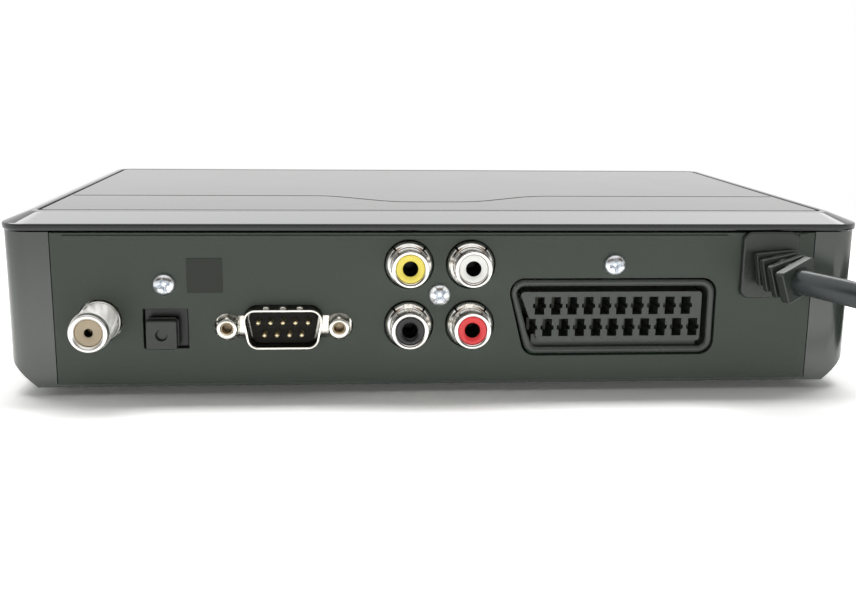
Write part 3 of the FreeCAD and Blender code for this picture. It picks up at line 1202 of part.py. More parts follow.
def coil_line(angle, finish, inner, pitch):
    """The coil's centre line: in along the floor, up a layer while it turns back, and out on top."""
    outer = number("coil_radius")
    rate = pitch / (2 * math.pi)
    if angle < inner:
        radius, rise = outer - rate * angle, 0
    elif angle > inner + math.pi:
        radius, rise = outer - rate * (finish - angle), pitch
    else:
        part = (angle - inner) / math.pi
        radius = outer - rate * inner - rate * math.pi * part * (1 - part)
        rise = pitch * (part - math.sin(2 * math.pi * part) / (2 * math.pi))
    return coil_centre + FreeCAD.Vector(-radius * math.sin(angle), radius * math.cos(angle), rise)


def arc_middle(start, way, end):
    """Half way along the arc that leaves start along the given way and ends at end."""
    chord = end - start
    straight = FreeCAD.Vector(chord).normalize()
    side = way - straight * way.dot(straight)
    if side.Length < 1e-7:
        return None
    rise = chord.Length / 2 * math.tan(way.getAngle(straight) / 2)
    return (start + end) * 0.5 + side.normalize() * rise


def biarc(start, start_way, end, end_way):
    """Two arcs that leave and arrive along the given directions."""
    chord, total = end - start, start_way + end_way
    mix = 2 * (1 - start_way.dot(end_way))
    if mix < 1e-9:
        reach = chord.dot(chord) / (4 * chord.dot(end_way))
    else:
        reach = (math.sqrt(chord.dot(total) ** 2 + mix * chord.dot(chord)) - chord.dot(total)) / mix
    joint = (start + start_way * reach + end - end_way * reach) * 0.5
    edges = []
    for first, last, middle in ((start, joint, arc_middle(start, start_way, joint)),
                                (joint, end, arc_middle(end, end_way * -1, joint))):
        curve = Part.Arc(first, middle, last) if middle else Part.LineSegment(first, last)
        edges.append(curve.toShape())
    return edges


def make_coil():
    pitch, diameter = number("coil_pitch"), number("cord_diameter")
    inner = coil_turns * 2 * math.pi
    finish = 2 * inner + math.pi
    spot = lambda angle: coil_line(angle, finish, inner, pitch)
    way = lambda angle: (spot(angle + 0.001) - spot(angle - 0.001)).normalize()
    count = 26
    angles = [finish * index / count for index in range(count + 1)]
    entry = spot(0)
    edges = [Part.LineSegment(entry + FreeCAD.Vector(diameter, 0, 0), entry).toShape()]
    ways = [FreeCAD.Vector(-1, 0, 0)] + [way(angle) for angle in angles[1:-1]]
    last_way = FreeCAD.Vector(-math.cos(finish), -math.sin(finish), 0)
    ways.append(last_way)
    for index in range(count):
        edges += biarc(spot(angles[index]), ways[index], spot(angles[index + 1]), ways[index + 1])
    top = spot(finish)
    clear = top + last_way * number("coil_tail")
    drop = top.z - number("plug_thickness") / 2
    low = clear + last_way * number("coil_fall") - FreeCAD.Vector(0, 0, drop)
    edges.append(Part.LineSegment(top, clear).toShape())
    edges += biarc(clear, last_way, low, last_way)
    end = low + last_way * diameter
    edges.append(Part.LineSegment(low, end).toShape())
    path = Part.Wire(edges)
    start = entry + FreeCAD.Vector(diameter, 0, 0)
    section = Part.Wire(Part.makeCircle(diameter / 2, start, FreeCAD.Vector(-1, 0, 0)))
    tube = path.makePipeShell([section], True, False)
    area = math.pi * diameter ** 2 / 4
    least = least_gap(path, diameter)
    print(f"coil: length {path.Length:.1f}, lowest {lowest(tube):.3f}, least gap to itself {least:.2f}, "
          f"volume over section times length {tube.Volume / area / path.Length:.5f}")
    node("cord_coil", feature("cord_coil", tube))
    make_plug(end, last_way)
    return path.Length


def least_gap(path, diameter):
    """The smallest clear distance between stretches of the tube that aren't neighbours."""
    step = 2.0
    points = path.discretize(Distance=step)
    skip = int(4 * diameter / step)
    least = 1000.0
    for index, here in enumerate(points):
        for other in points[index + skip:]:
            least = min(least, (other - here).Length)
    return least - diameter


def make_plug(start, way):
    """A flat two-pin plug, made along +X from the lead's end and then turned into place."""
    wide, thick = number("plug_width"), number("plug_thickness")
    nose, body, length = number("plug_nose"), number("plug_body"), number("plug_pin_length")
    outline_points = [(nose - 4, -7), (nose + 5, -wide / 2), (nose + body, -wide / 2 + 2),
                      (nose + body, wide / 2 - 2), (nose + 5, wide / 2), (nose - 4, 7), (nose - 4, -7)]
    face = Part.Face(Part.makePolygon([FreeCAD.Vector(x, y, -thick / 2) for x, y in outline_points]))
    solid = face.extrude(FreeCAD.Vector(0, 0, thick))
    edges = [edge for edge in solid.Edges if along(edge, FreeCAD.Vector(0, 0, 1))]
    solid = solid.makeFillet(2.2, edges)
    front = FreeCAD.Vector(1, 0, 0)
    guard = Part.makeCone(number("cord_diameter") / 2 + 0.9, 5, nose, FreeCAD.Vector(), front)
    pieces = [guard]
    pins = []
    for side in (-1, 1):
        foot = FreeCAD.Vector(nose + body, side * number("plug_pin_spacing") / 2, 0)
        sleeve = Part.makeCylinder(number("plug_pin") / 2 - 0.1, 10, foot, front)
        pieces.append(sleeve)
        tip = foot + front * 10
        pin = Part.makeCylinder(number("plug_pin") / 2, length - 12, tip, front)
        end = Part.makeCone(number("plug_pin") / 2, number("plug_pin") / 4, 2, tip + front * (length - 12), front)
        pins.append(pin.fuse(end))
    turn = FreeCAD.Rotation(FreeCAD.Vector(0, 0, 1), math.degrees(math.atan2(way.y, way.x)))
    place = FreeCAD.Placement(start, turn)
    node("mains_plug", feature("mains_plug", solid.multiFuse(pieces), place))
    node("plug_pins", feature("plug_pins", Part.Compound(pins), place))


def write_nodes():
    document.recompute()
    for item in document.Objects:
        if "Invalid" in item.State or "Error" in item.State:
            raise RuntimeError(f"{item.Name} failed: {item.State}")
    os.makedirs("parts", exist_ok=True)
    for name, item in nodes.items():
        shape = item.Shape
        if shape.isNull() or not shape.isValid() or not shape.Solids:
            raise RuntimeError(f"{name} has no valid solid")
    for name, item in nodes.items():
        item.Shape.exportStep(f"parts/{name}.step")
    print(f"{len(nodes)} nodes, {sum(len(item.Shape.Solids) for item in nodes.values())} solids")


def main():
    make_base()
    make_feet()
    make_cover()
    make_rear_panel()
    make_scart()
    make_antenna()
    make_optical()
    make_serial()
    make_jacks()
    make_front()
    make_boards()
    make_wires()
    make_screws()
    make_relief()
    lead = make_cord()
    coiled = make_coil()
    print(f"mains lead: {lead + coiled:.0f} long")
    write_nodes()


if __name__ == "__main__":
    main()
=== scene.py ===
import math

import bmesh
import bpy
from mathutils import Matrix, Vector
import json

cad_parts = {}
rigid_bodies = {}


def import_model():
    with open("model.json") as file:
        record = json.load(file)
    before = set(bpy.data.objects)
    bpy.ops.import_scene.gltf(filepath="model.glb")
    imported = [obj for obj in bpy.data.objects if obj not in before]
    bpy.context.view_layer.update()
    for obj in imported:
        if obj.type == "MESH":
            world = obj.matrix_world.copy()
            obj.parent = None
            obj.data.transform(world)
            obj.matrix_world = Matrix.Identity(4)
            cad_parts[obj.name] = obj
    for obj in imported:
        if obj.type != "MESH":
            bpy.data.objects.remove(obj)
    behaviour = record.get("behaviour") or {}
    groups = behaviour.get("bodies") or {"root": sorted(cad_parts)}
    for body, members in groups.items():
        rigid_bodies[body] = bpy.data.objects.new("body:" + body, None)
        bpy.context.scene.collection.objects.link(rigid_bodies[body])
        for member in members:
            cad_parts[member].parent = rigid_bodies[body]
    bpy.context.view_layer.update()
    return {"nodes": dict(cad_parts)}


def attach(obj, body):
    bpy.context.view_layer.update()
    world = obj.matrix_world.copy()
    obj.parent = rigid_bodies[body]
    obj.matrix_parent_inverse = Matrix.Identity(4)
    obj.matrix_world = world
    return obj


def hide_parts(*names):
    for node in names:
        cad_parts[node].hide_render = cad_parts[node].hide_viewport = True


for spare in list(bpy.data.objects):
    bpy.data.objects.remove(spare)
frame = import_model()        # the imported nodes, each parented to its body
mm = 0.001               # lengths are in millimetres, but for the floor, the sky and the lamps
print("frame loaded:", len(frame["nodes"]), "nodes")

# camera, placed and turned as in the photograph, at the rear of the box
cameraSetup = {"place": (21.38, 289.28, 73.31), "turn": (77.787, -0.640, 175.739), "lens": 45.195}
cameraData = bpy.data.cameras.new("rearCamera")
cameraData.lens = cameraSetup["lens"]
cameraData.sensor_width = 36
cameraData.clip_start = 0.01
camera = bpy.data.objects.new("rearCamera", cameraData)
camera.location = Vector(cameraSetup["place"]) * mm
camera.rotation_euler = [math.radians(a) for a in cameraSetup["turn"]]
bpy.context.scene.collection.objects.link(camera)
bpy.context.scene.camera = camera


# shapes as plain lists of points and faces, in millimetres

def shapeOf(verts, faces, marks=None):
    return {"verts": [Vector(v) for v in verts], "faces": [list(f) for f in faces],
            "marks": list(marks) if marks else [0] * len(faces)}


def joined(*parts):
    whole = shapeOf([], [])
    for part in parts:
        shift = len(whole["verts"])
        whole["verts"] += part["verts"]
        whole["faces"] += [[i + shift for i in face] for face in part["faces"]]
        whole["marks"] += part["marks"]
    return whole


def moved(part, matrix):
    return {"verts": [matrix @ v for v in part["verts"]], "faces": part["faces"], "marks": part["marks"]}


def shifted(part, x=0.0, y=0.0, z=0.0):
    return moved(part, Matrix.Translation((x, y, z)))


def painted(part, mark):
    return {"verts": part["verts"], "faces": part["faces"], "marks": [mark] * len(part["faces"])}


def loft(rings, marks=None, startCap=True, endCap=True, around=False, capMarks=(0, 0)):
    count = len(rings[0])
    faces, faceMarks = [], []
    rows = len(rings) if around else len(rings) - 1      # around joins the last ring to the first
    for row in range(rows):
        nextRow = (row + 1) % len(rings)
        for i in range(count):
            j = (i + 1) % count
            faces.append([row * count + i, row * count + j, nextRow * count + j, nextRow * count + i])
            faceMarks.append(marks[row] if marks else 0)
    if startCap and not around:
        faces.append(list(range(count))[::-1])
        faceMarks.append(capMarks[0])
    if endCap and not around:
        faces.append([(len(rings) - 1) * count + i for i in range(count)])
        faceMarks.append(capMarks[1])
    return shapeOf([v for ring in rings for v in ring], faces, faceMarks)


def turned(profile, count=48, wave=None, around=False, marks=None, capMarks=(0, 0)):
    # (radius, along) points turned round the Y axis
    rings = []
    for radius, along in profile:
        ring = []
        for k in range(count):
            angle = 2 * math.pi * k / count
            r = radius + (wave(angle, along) if wave else 0.0)
            ring.append((r * math.cos(angle), along, r * math.sin(angle)))
        rings.append(ring)
    return loft(rings, marks=marks, around=around, capMarks=capMarks)


def roundedRect(width, height, radius, steps=6):
    points = []
    for cx, cz, start in ((1, 1, 0), (-1, 1, 90), (-1, -1, 180), (1, -1, 270)):
        for k in range(steps + 1):
            angle = math.radians(start + 90 * k / steps)
            points.append((cx * (width / 2 - radius) + radius * math.cos(angle),
                           cz * (height / 2 - radius) + radius * math.sin(angle)))
    return points


def roundedPolygon(corners, radius, steps=6):
    # corners go round anticlockwise
    points = []
    for i, here in enumerate(corners):
        here = Vector(here)
        before, after = Vector(corners[i - 1]), Vector(corners[(i + 1) % len(corners)])
        one, two = (before - here).normalized(), (after - here).normalized()
        half = one.angle(two) / 2
        reach = radius / math.tan(half)
        middle = here + (one + two).normalized() * (radius / math.sin(half))
        start, end = here + one * reach - middle, here + two * reach - middle
        sweep = start.angle(end)
        for k in range(steps + 1):
            turn = sweep * k / steps
            points.append((middle.x + start.x * math.cos(turn) - start.y * math.sin(turn),
                           middle.y + start.x * math.sin(turn) + start.y * math.cos(turn)))
    return points


def inset(outline, distance):
    result = []
    for i, here in enumerate(outline):
        here = Vector(here)
        before, after = Vector(outline[i - 1]), Vector(outline[(i + 1) % len(outline)])
        one, two = (here - before).normalized(), (after - here).normalized()
        first, second = Vector((-one.y, one.x)), Vector((-two.y, two.x))
        result.append(tuple(here + (first + second) * (distance / max(1 + first.dot(second), 0.3))))
    return result


def softPrism(outline, low, high, edge=0.3, lowEdge=None, steps=3, marks=0):
    # an (x, z) outline drawn along Y, its end edges rounded
    lowEdge = edge if lowEdge is None else lowEdge
    stations = []
    for k in range(steps + 1):
        turn = math.pi / 2 * k / steps
        stations.append((lowEdge * (1 - math.sin(turn)), low + lowEdge * (1 - math.cos(turn))))
    for k in range(steps + 1):
        turn = math.pi / 2 * k / steps
        stations.append((edge * (1 - math.cos(turn)), high - edge + edge * math.sin(turn)))
    rings = [[(x, along, z) for x, z in inset(outline, back)] for back, along in stations]
    return painted(loft(rings), marks)


def carved(body, *cutters):
    things = []
    for part in (body, joined(*cutters)):
        mesh = bpy.data.meshes.new("scratch")
        mesh.from_pydata(part["verts"], [], part["faces"])
        for face, mark in zip(mesh.polygons, part["marks"]):
            face.material_index = mark
        tool = bmesh.new()
        tool.from_mesh(mesh)
        bmesh.ops.recalc_face_normals(tool, faces=tool.faces)
        tool.to_mesh(mesh)
        tool.free()
        for k in range(4):                                # slots, so that the marks outlast the cut
            mesh.materials.append(bpy.data.materials[0])
        thing = bpy.data.objects.new("scratch", mesh)
        bpy.context.scene.collection.objects.link(thing)
        things.append(thing)
    cut = things[0].modifiers.new("cut", "BOOLEAN")
    cut.operation = "DIFFERENCE"
    cut.solver = "EXACT"
    cut.object = things[1]
    cut.material_mode = "INDEX"
    cut.use_self = True
    bpy.context.view_layer.update()
    result = things[0].evaluated_get(bpy.context.evaluated_depsgraph_get()).to_mesh()
    shape = shapeOf([v.co.copy() for v in result.vertices], [list(f.vertices) for f in result.polygons],
                    [f.material_index for f in result.polygons])
    for thing in things:
        mesh = thing.data
        bpy.data.objects.remove(thing)
        bpy.data.meshes.remove(mesh)
    return shape


def addPiece(name, part, finishNames, body="case", stands=(), sharp=34):
    mesh = bpy.data.meshes.new(name)
    mesh.from_pydata([v * mm for v in part["verts"]], [], part["faces"])
    for face, mark in zip(mesh.polygons, part["marks"]):
        face.material_index = mark
    form = bmesh.new()
    form.from_mesh(mesh)
    bmesh.ops.remove_doubles(form, verts=form.verts, dist=1e-6)
    bmesh.ops.recalc_face_normals(form, faces=form.faces)
    for edge in form.edges:
        edge.smooth = len(edge.link_faces) == 2 and edge.calc_face_angle(0) < math.radians(sharp)
    for face in form.faces:
        face.smooth = True
    form.to_mesh(mesh)
    form.free()
    for finish in finishNames:
        mesh.materials.append(finishes[finish])
    piece = bpy.data.objects.new(name, mesh)
    bpy.context.scene.collection.objects.link(piece)
    piece.modifiers.new("evenNormals", "WEIGHTED_NORMAL").keep_sharp = True
    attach(piece, body)
    if stands:
        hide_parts(*stands)
    return piece


# effects that several finishes share

def newGroup(name, inputs, outputs):
    group = bpy.data.node_groups.new(name, "ShaderNodeTree")
    for label, kind, value in inputs:
        socket = group.interface.new_socket(name=label, in_out="INPUT", socket_type=kind)
        if value is not None:
            socket.default_value = value
    for label, kind in outputs:
        group.interface.new_socket(name=label, in_out="OUTPUT", socket_type=kind)
    source = group.nodes.new("NodeGroupInput")
    target = group.nodes.new("NodeGroupOutput")
    return group, source, target


def mathNode(tree, operation, first, second=None, clamp=False):
    node = tree.nodes.new("ShaderNodeMath")
    node.operation = operation
    node.use_clamp = clamp
    for slot, value in enumerate((first, second)):
        if value is None:
            continue
        if isinstance(value, (int, float)):
            node.inputs[slot].default_value = value
        else:
            tree.links.new(value, node.inputs[slot])
    return node.outputs[0]


def noiseAt(tree, scaleSocket, detail=4.0, roughness=0.55, stretch=None):
    coords = tree.nodes.new("ShaderNodeTexCoord")
    place = coords.outputs["Object"]
    if stretch:
        mapping = tree.nodes.new("ShaderNodeMapping")
        mapping.inputs["Scale"].default_value = stretch
        tree.links.new(place, mapping.inputs["Vector"])
        place = mapping.outputs["Vector"]
    noise = tree.nodes.new("ShaderNodeTexNoise")
    noise.inputs["Detail"].default_value = detail
    noise.inputs["Roughness"].default_value = roughness
    tree.links.new(place, noise.inputs["Vector"])
    if isinstance(scaleSocket, (int, float)):
        noise.inputs["Scale"].default_value = scaleSocket
    else:
        tree.links.new(scaleSocket, noise.inputs["Scale"])
    return noise.outputs["Fac"]


def makeToneDrift():
    # slow change of lightness, with a little dust settled on upward faces
    group, source, target = newGroup(
        "toneDrift",
        [("Color", "NodeSocketColor", (0.5, 0.5, 0.5, 1)), ("Drift", "NodeSocketFloat", 0.2),
         ("Scale", "NodeSocketFloat", 40.0), ("Dust", "NodeSocketFloat", 0.1)],
        [("Color", "NodeSocketColor"), ("Dust", "NodeSocketFloat")])
    slow = noiseAt(group, source.outputs["Scale"], 3.0)
    swing = mathNode(group, "MULTIPLY", mathNode(group, "SUBTRACT", slow, 0.5), source.outputs["Drift"])
    factor = mathNode(group, "ADD", mathNode(group, "MULTIPLY", swing, 2.0), 1.0)
    scaled = group.nodes.new("ShaderNodeMix")
    scaled.data_type = "RGBA"
    scaled.blend_type = "MULTIPLY"
    scaled.inputs["Factor"].default_value = 1.0
    group.links.new(source.outputs["Color"], scaled.inputs["A"])
    group.links.new(factor, scaled.inputs["B"])
    speck = noiseAt(group, 900.0, 6.0, 0.7)
    speckMask = group.nodes.new("ShaderNodeMapRange")
    speckMask.inputs["From Min"].default_value = 0.56
    speckMask.inputs["From Max"].default_value = 0.74
    group.links.new(speck, speckMask.inputs["Value"])
    geometry = group.nodes.new("ShaderNodeNewGeometry")
    parts = group.nodes.new("ShaderNodeSeparateXYZ")
    group.links.new(geometry.outputs["Normal"], parts.inputs["Vector"])
    upward = mathNode(group, "ADD", mathNode(group, "MULTIPLY", parts.outputs["Z"], 0.7), 0.3, clamp=True)
    dust = mathNode(group, "MULTIPLY", mathNode(group, "MULTIPLY", speckMask.outputs["Result"], upward),
                    source.outputs["Dust"], clamp=True)
    dusty = group.nodes.new("ShaderNodeMix")
    dusty.data_type = "RGBA"
    dusty.inputs["B"].default_value = (0.36, 0.35, 0.33, 1)
    group.links.new(dust, dusty.inputs["Factor"])
    group.links.new(scaled.outputs["Result"], dusty.inputs["A"])
    group.links.new(dusty.outputs["Result"], target.inputs["Color"])
    group.links.new(dust, target.inputs["Dust"])
    return group


def makeFineGrain():
    # moulded grain: height for a Bump node and a roughness that follows it
    group, source, target = newGroup(
        "fineGrain",
        [("Scale", "NodeSocketFloat", 1500.0), ("Roughness", "NodeSocketFloat", 0.5),
         ("Spread", "NodeSocketFloat", 0.1)],
        [("Height", "NodeSocketFloat"), ("Roughness", "NodeSocketFloat")])
    coords = group.nodes.new("ShaderNodeTexCoord")
    cells = group.nodes.new("ShaderNodeTexVoronoi")
    cells.feature = "SMOOTH_F1"
    group.links.new(coords.outputs["Object"], cells.inputs["Vector"])
    group.links.new(source.outputs["Scale"], cells.inputs["Scale"])
    fine = noiseAt(group, source.outputs["Scale"], 3.0)
    height = mathNode(group, "ADD", mathNode(group, "MULTIPLY", cells.outputs["Distance"], 0.6),
                      mathNode(group, "MULTIPLY", fine, 0.5))
    slow = noiseAt(group, 65.0, 4.0)
    swing = mathNode(group, "MULTIPLY", mathNode(group, "SUBTRACT", slow, 0.5), source.outputs["Spread"])
    rough = mathNode(group, "ADD", mathNode(group, "MULTIPLY", swing, 2.0), source.outputs["Roughness"],
                     clamp=True)
    group.links.new(height, target.inputs["Height"])
    group.links.new(rough, target.inputs["Roughness"])
    return group


def makeToolMarks():
    # fine lines left by the tool round the Y axis, as on turned and rolled metal
    group, source, target = newGroup(
        "toolMarks",
        [("Color", "NodeSocketColor", (0.6, 0.6, 0.6, 1)),
         ("Tarnish", "NodeSocketColor", (0.3, 0.25, 0.2, 1)), ("Amount", "NodeSocketFloat", 0.2),
         ("Roughness", "NodeSocketFloat", 0.2)],
        [("Color", "NodeSocketColor"), ("Roughness", "NodeSocketFloat"), ("Height", "NodeSocketFloat")])
    lines = noiseAt(group, 1.0, 3.0, 0.6, stretch=(250.0, 9000.0, 250.0))
    cloud = noiseAt(group, 300.0, 5.0, 0.6)
    mask = group.nodes.new("ShaderNodeMapRange")
    mask.inputs["From Min"].default_value = 0.48
    mask.inputs["From Max"].default_value = 0.72
    group.links.new(cloud, mask.inputs["Value"])
    amount = mathNode(group, "MULTIPLY", mask.outputs["Result"], source.outputs["Amount"], clamp=True)
    mixed = group.nodes.new("ShaderNodeMix")
    mixed.data_type = "RGBA"
    group.links.new(amount, mixed.inputs["Factor"])
    group.links.new(source.outputs["Color"], mixed.inputs["A"])
    group.links.new(source.outputs["Tarnish"], mixed.inputs["B"])
    rough = mathNode(group, "ADD", mathNode(group, "MULTIPLY", lines, 0.14),
                     mathNode(group, "ADD", source.outputs["Roughness"],
                              mathNode(group, "MULTIPLY", amount, 0.25)), clamp=True)
    group.links.new(mixed.outputs["Result"], target.inputs["Color"])
    group.links.new(rough, target.inputs["Roughness"])
    group.links.new(lines, target.inputs["Height"])
    return group


toneDrift = makeToneDrift()
fineGrain = makeFineGrain()
toolMarks = makeToolMarks()
finishes = {}


def startFinish(name):
    finish = bpy.data.materials.new(name)
    finish.use_nodes = True
    tree = finish.node_tree
    return finish, tree, tree.nodes["Principled BSDF"]


def placeGroup(tree, group, **values):
    node = tree.nodes.new("ShaderNodeGroup")
    node.node_tree = group
    for label, value in values.items():
        node.inputs[label].default_value = value
    return node


def addBump(tree, shader, height, strength, distance):
    bump = tree.nodes.new("ShaderNodeBump")
    bump.inputs["Strength"].default_value = strength
    bump.inputs["Distance"].default_value = distance
    tree.links.new(height, bump.inputs["Height"])
    tree.links.new(bump.outputs["Normal"], shader.inputs["Normal"])


def plasticFinish(name, color, roughness, grain=1600.0, depth=0.00002, strength=0.35, drift=0.08,
                  dust=0.0, coat=0.0, spread=0.05, ior=1.5):
    finish, tree, shader = startFinish(name)
    tone = placeGroup(tree, toneDrift, Color=(*color, 1), Drift=drift, Scale=35.0, Dust=dust)
    skin = placeGroup(tree, fineGrain, Scale=grain, Roughness=roughness, Spread=spread)
    tree.links.new(tone.outputs["Color"], shader.inputs["Base Color"])
    tree.links.new(skin.outputs["Roughness"], shader.inputs["Roughness"])
    shader.inputs["IOR"].default_value = ior
    shader.inputs["Coat Weight"].default_value = coat
    shader.inputs["Coat Roughness"].default_value = 0.06
    addBump(tree, shader, skin.outputs["Height"], strength, depth)
    finishes[name] = finish
    return finish


def metalFinish(name, color, tarnish, roughness, amount=0.25, depth=0.000006, strength=0.25):
    finish, tree, shader = startFinish(name)
    marks = placeGroup(tree, toolMarks, Color=(*color, 1), Tarnish=(*tarnish, 1), Amount=amount,
                       Roughness=roughness)
    tree.links.new(marks.outputs["Color"], shader.inputs["Base Color"])
    tree.links.new(marks.outputs["Roughness"], shader.inputs["Roughness"])
    shader.inputs["Metallic"].default_value = 1.0
    addBump(tree, shader, marks.outputs["Height"], strength, depth)
    finishes[name] = finish
    return finish


plasticFinish("body_plastic", (0.052, 0.063, 0.052), 0.38, grain=2600.0, strength=0.5, dust=0.12, drift=0.06,
              ior=1.4)
plasticFinish("shell_plastic", (0.042, 0.051, 0.043), 0.15, grain=2600.0, strength=0.3, dust=0.08,
              drift=0.05, ior=1.75)
# painted shade: near-black colour put on bores, notch walls and contacts deep in holes, where only shade
# falls
plasticFinish("hole_black", (0.004, 0.004, 0.004), 0.85, strength=0.1, ior=1.2)
plasticFinish("insulator_black", (0.020, 0.019, 0.017), 0.6, grain=2400.0, strength=0.2, ior=1.25)
plasticFinish("cover_plastic", (0.008, 0.009, 0.009), 0.06, grain=700.0, strength=0.015, dust=0.03, coat=0.3,
              spread=0.02)
plasticFinish("cover_field", (0.056, 0.064, 0.054), 0.15, grain=3000.0, strength=0.12, dust=0.05,
              spread=0.02, ior=1.75)
plasticFinish("rubber", (0.022, 0.022, 0.022), 0.72, grain=2200.0, strength=0.6)
plasticFinish("socket_plastic", (0.056, 0.064, 0.056), 0.28, grain=2400.0, strength=0.3, dust=0.1)
plasticFinish("black_plastic", (0.014, 0.014, 0.015), 0.30, grain=2400.0, strength=0.3, dust=0.08)
plasticFinish("yellow_plastic", (0.95, 0.80, 0.14), 0.24, strength=0.1)
plasticFinish("white_plastic", (0.93, 0.93, 0.89), 0.26, strength=0.1)
plasticFinish("jack_black_plastic", (0.016, 0.016, 0.017), 0.24, strength=0.1)
plasticFinish("red_plastic", (0.82, 0.055, 0.060), 0.24, strength=0.1)
plasticFinish("beige_plastic", (0.44, 0.36, 0.25), 0.42, strength=0.2)
plasticFinish("board_resin", (0.02, 0.13, 0.05), 0.30, grain=500.0, strength=0.2, drift=0.25)
plasticFinish("chip_resin", (0.02, 0.02, 0.02), 0.5, grain=2800.0)
plasticFinish("ferrite", (0.06, 0.06, 0.065), 0.6, grain=1800.0)
plasticFinish("winding_tape", (0.72, 0.50, 0.10), 0.35, grain=500.0, drift=0.2)
plasticFinish("capacitor_sleeve", (0.02, 0.035, 0.10), 0.25, grain=700.0)
plasticFinish("window_plastic", (0.030, 0.006, 0.006), 0.06, grain=300.0, strength=0.02, coat=0.3)
plasticFinish("light_plastic", (0.10, 0.48, 0.16), 0.25, strength=0.1)
plasticFinish("wire_plastic", (0.48, 0.05, 0.04), 0.38, strength=0.2)
plasticFinish("flat_cable_plastic", (0.60, 0.59, 0.55), 0.42, strength=0.2)
plasticFinish("label_film", (0.040, 0.044, 0.038), 0.45, grain=400.0, strength=0.1, ior=1.3)
plasticFinish("plug_plastic", (0.026, 0.030, 0.026), 0.24, grain=2400.0, strength=0.2, ior=1.5)
plasticFinish("cable_plastic", (0.036, 0.044, 0.044), 0.22, grain=1800.0, strength=0.3, dust=0.05)
plasticFinish("grommet_plastic", (0.036, 0.042, 0.037), 0.26, grain=1800.0, strength=0.3, dust=0.05)
plasticFinish("mark_paint", (0.55, 0.56, 0.55), 0.45, strength=0.1)
metalFinish("nickel", (0.95, 0.94, 0.91), (0.74, 0.66, 0.56), 0.10, amount=0.3)
metalFinish("tin", (0.93, 0.91, 0.84), (0.50, 0.45, 0.36), 0.18)
metalFinish("satin_nickel", (0.97, 0.96, 0.93), (0.82, 0.78, 0.70), 0.24, amount=0.3)
# painted shade: a darkened nickel for the bottom of the aerial thread's groove
metalFinish("thread_shade", (0.26, 0.25, 0.22), (0.16, 0.15, 0.13), 0.34)
# painted shade: tin darkened to read as tin in shadow, for the serial shell's flank and inner wall and the
# wide socket's contacts
metalFinish("dull_tin", (0.07, 0.07, 0.06), (0.04, 0.04, 0.03), 0.40)
metalFinish("zinc", (0.90, 0.93, 0.97), (0.62, 0.65, 0.70), 0.20)
metalFinish("gold", (1.0, 0.86, 0.56), (0.72, 0.54, 0.28), 0.30)
metalFinish("bore_brass", (0.46, 0.37, 0.25), (0.22, 0.16, 0.10), 0.34)
metalFinish("aluminium", (0.74, 0.75, 0.76), (0.55, 0.56, 0.57), 0.30)
metalFinish("copper", (0.72, 0.36, 0.19), (0.38, 0.20, 0.12), 0.28)


def makeGlass():
    finish, tree, shader = startFinish("clear_glass")
    tone = placeGroup(tree, toneDrift, Color=(0.86, 0.90, 0.90, 1), Drift=0.03, Scale=60.0, Dust=0.0)
    tree.links.new(tone.outputs["Color"], shader.inputs["Base Color"])
    shader.inputs["Transmission Weight"].default_value = 0.9
    shader.inputs["Roughness"].default_value = 0.04
    finishes["clear_glass"] = finish


makeGlass()
print("finishes made:", len(finishes))

# mains lead: a smooth line from the grommet to the plug
leadSizes = {"width": 5.6, "length": 1429.0, "coilCentre": (-176.2, 49.0, 2.81), "coilRadius": 41.9,
             "pitch": 6.2, "turns": 2.889, "pointsPerTurn": 20, "straight": 24.0, "drop": 16.0, "last": 5.6,
             "plugHeight": 6.85}
leadRoute = [(-78.4, 63.2, 28.0), (-83.6, 72.3, 27.7), (-92.0, 80.1, 26.2), (-102.6, 85.9, 22.9),
             (-114.5, 89.6, 17.8), (-127.5, 91.2, 11.5), (-141.4, 91.4, 5.8), (-156.1, 90.9, 2.81),
             (-170.6, 90.9, 2.81)]


def coilPoint(angle):
    centre = Vector(leadSizes["coilCentre"])
    inner = leadSizes["turns"] * 2 * math.pi
    finish = 2 * inner + math.pi
    rate = leadSizes["pitch"] / (2 * math.pi)
    if angle < inner:
        radius, rise = leadSizes["coilRadius"] - rate * angle, 0.0
    elif angle > inner + math.pi:
        radius, rise = leadSizes["coilRadius"] - rate * (finish - angle), leadSizes["pitch"]
    else:
        part = (angle - inner) / math.pi
        radius = leadSizes["coilRadius"] - rate * inner - rate * math.pi * part * (1 - part)
        rise = leadSizes["pitch"] * (part - math.sin(2 * math.pi * part) / (2 * math.pi))
    return centre + Vector((-radius * math.sin(angle), radius * math.cos(angle), rise))


coilEnd = 4 * math.pi * leadSizes["turns"] + math.pi
coilSteps = round(coilEnd / (2 * math.pi) * leadSizes["pointsPerTurn"])
leadPoints = [Vector(p) for p in leadRoute]
leadPoints += [coilPoint(coilEnd * k / coilSteps) for k in range(coilSteps + 1)]
lastWay = Vector((-math.cos(coilEnd), -math.sin(coilEnd), 0.0))
tailStart = leadPoints[-1]
straightEnd = tailStart + lastWay * leadSizes["straight"]
dropEnd = straightEnd + lastWay * leadSizes["drop"]
dropEnd.z = leadSizes["plugHeight"]
plugStart = dropEnd + lastWay * leadSizes["last"]
leadPoints += [tailStart + lastWay * 8, tailStart + lastWay * 16, straightEnd, dropEnd, plugStart]

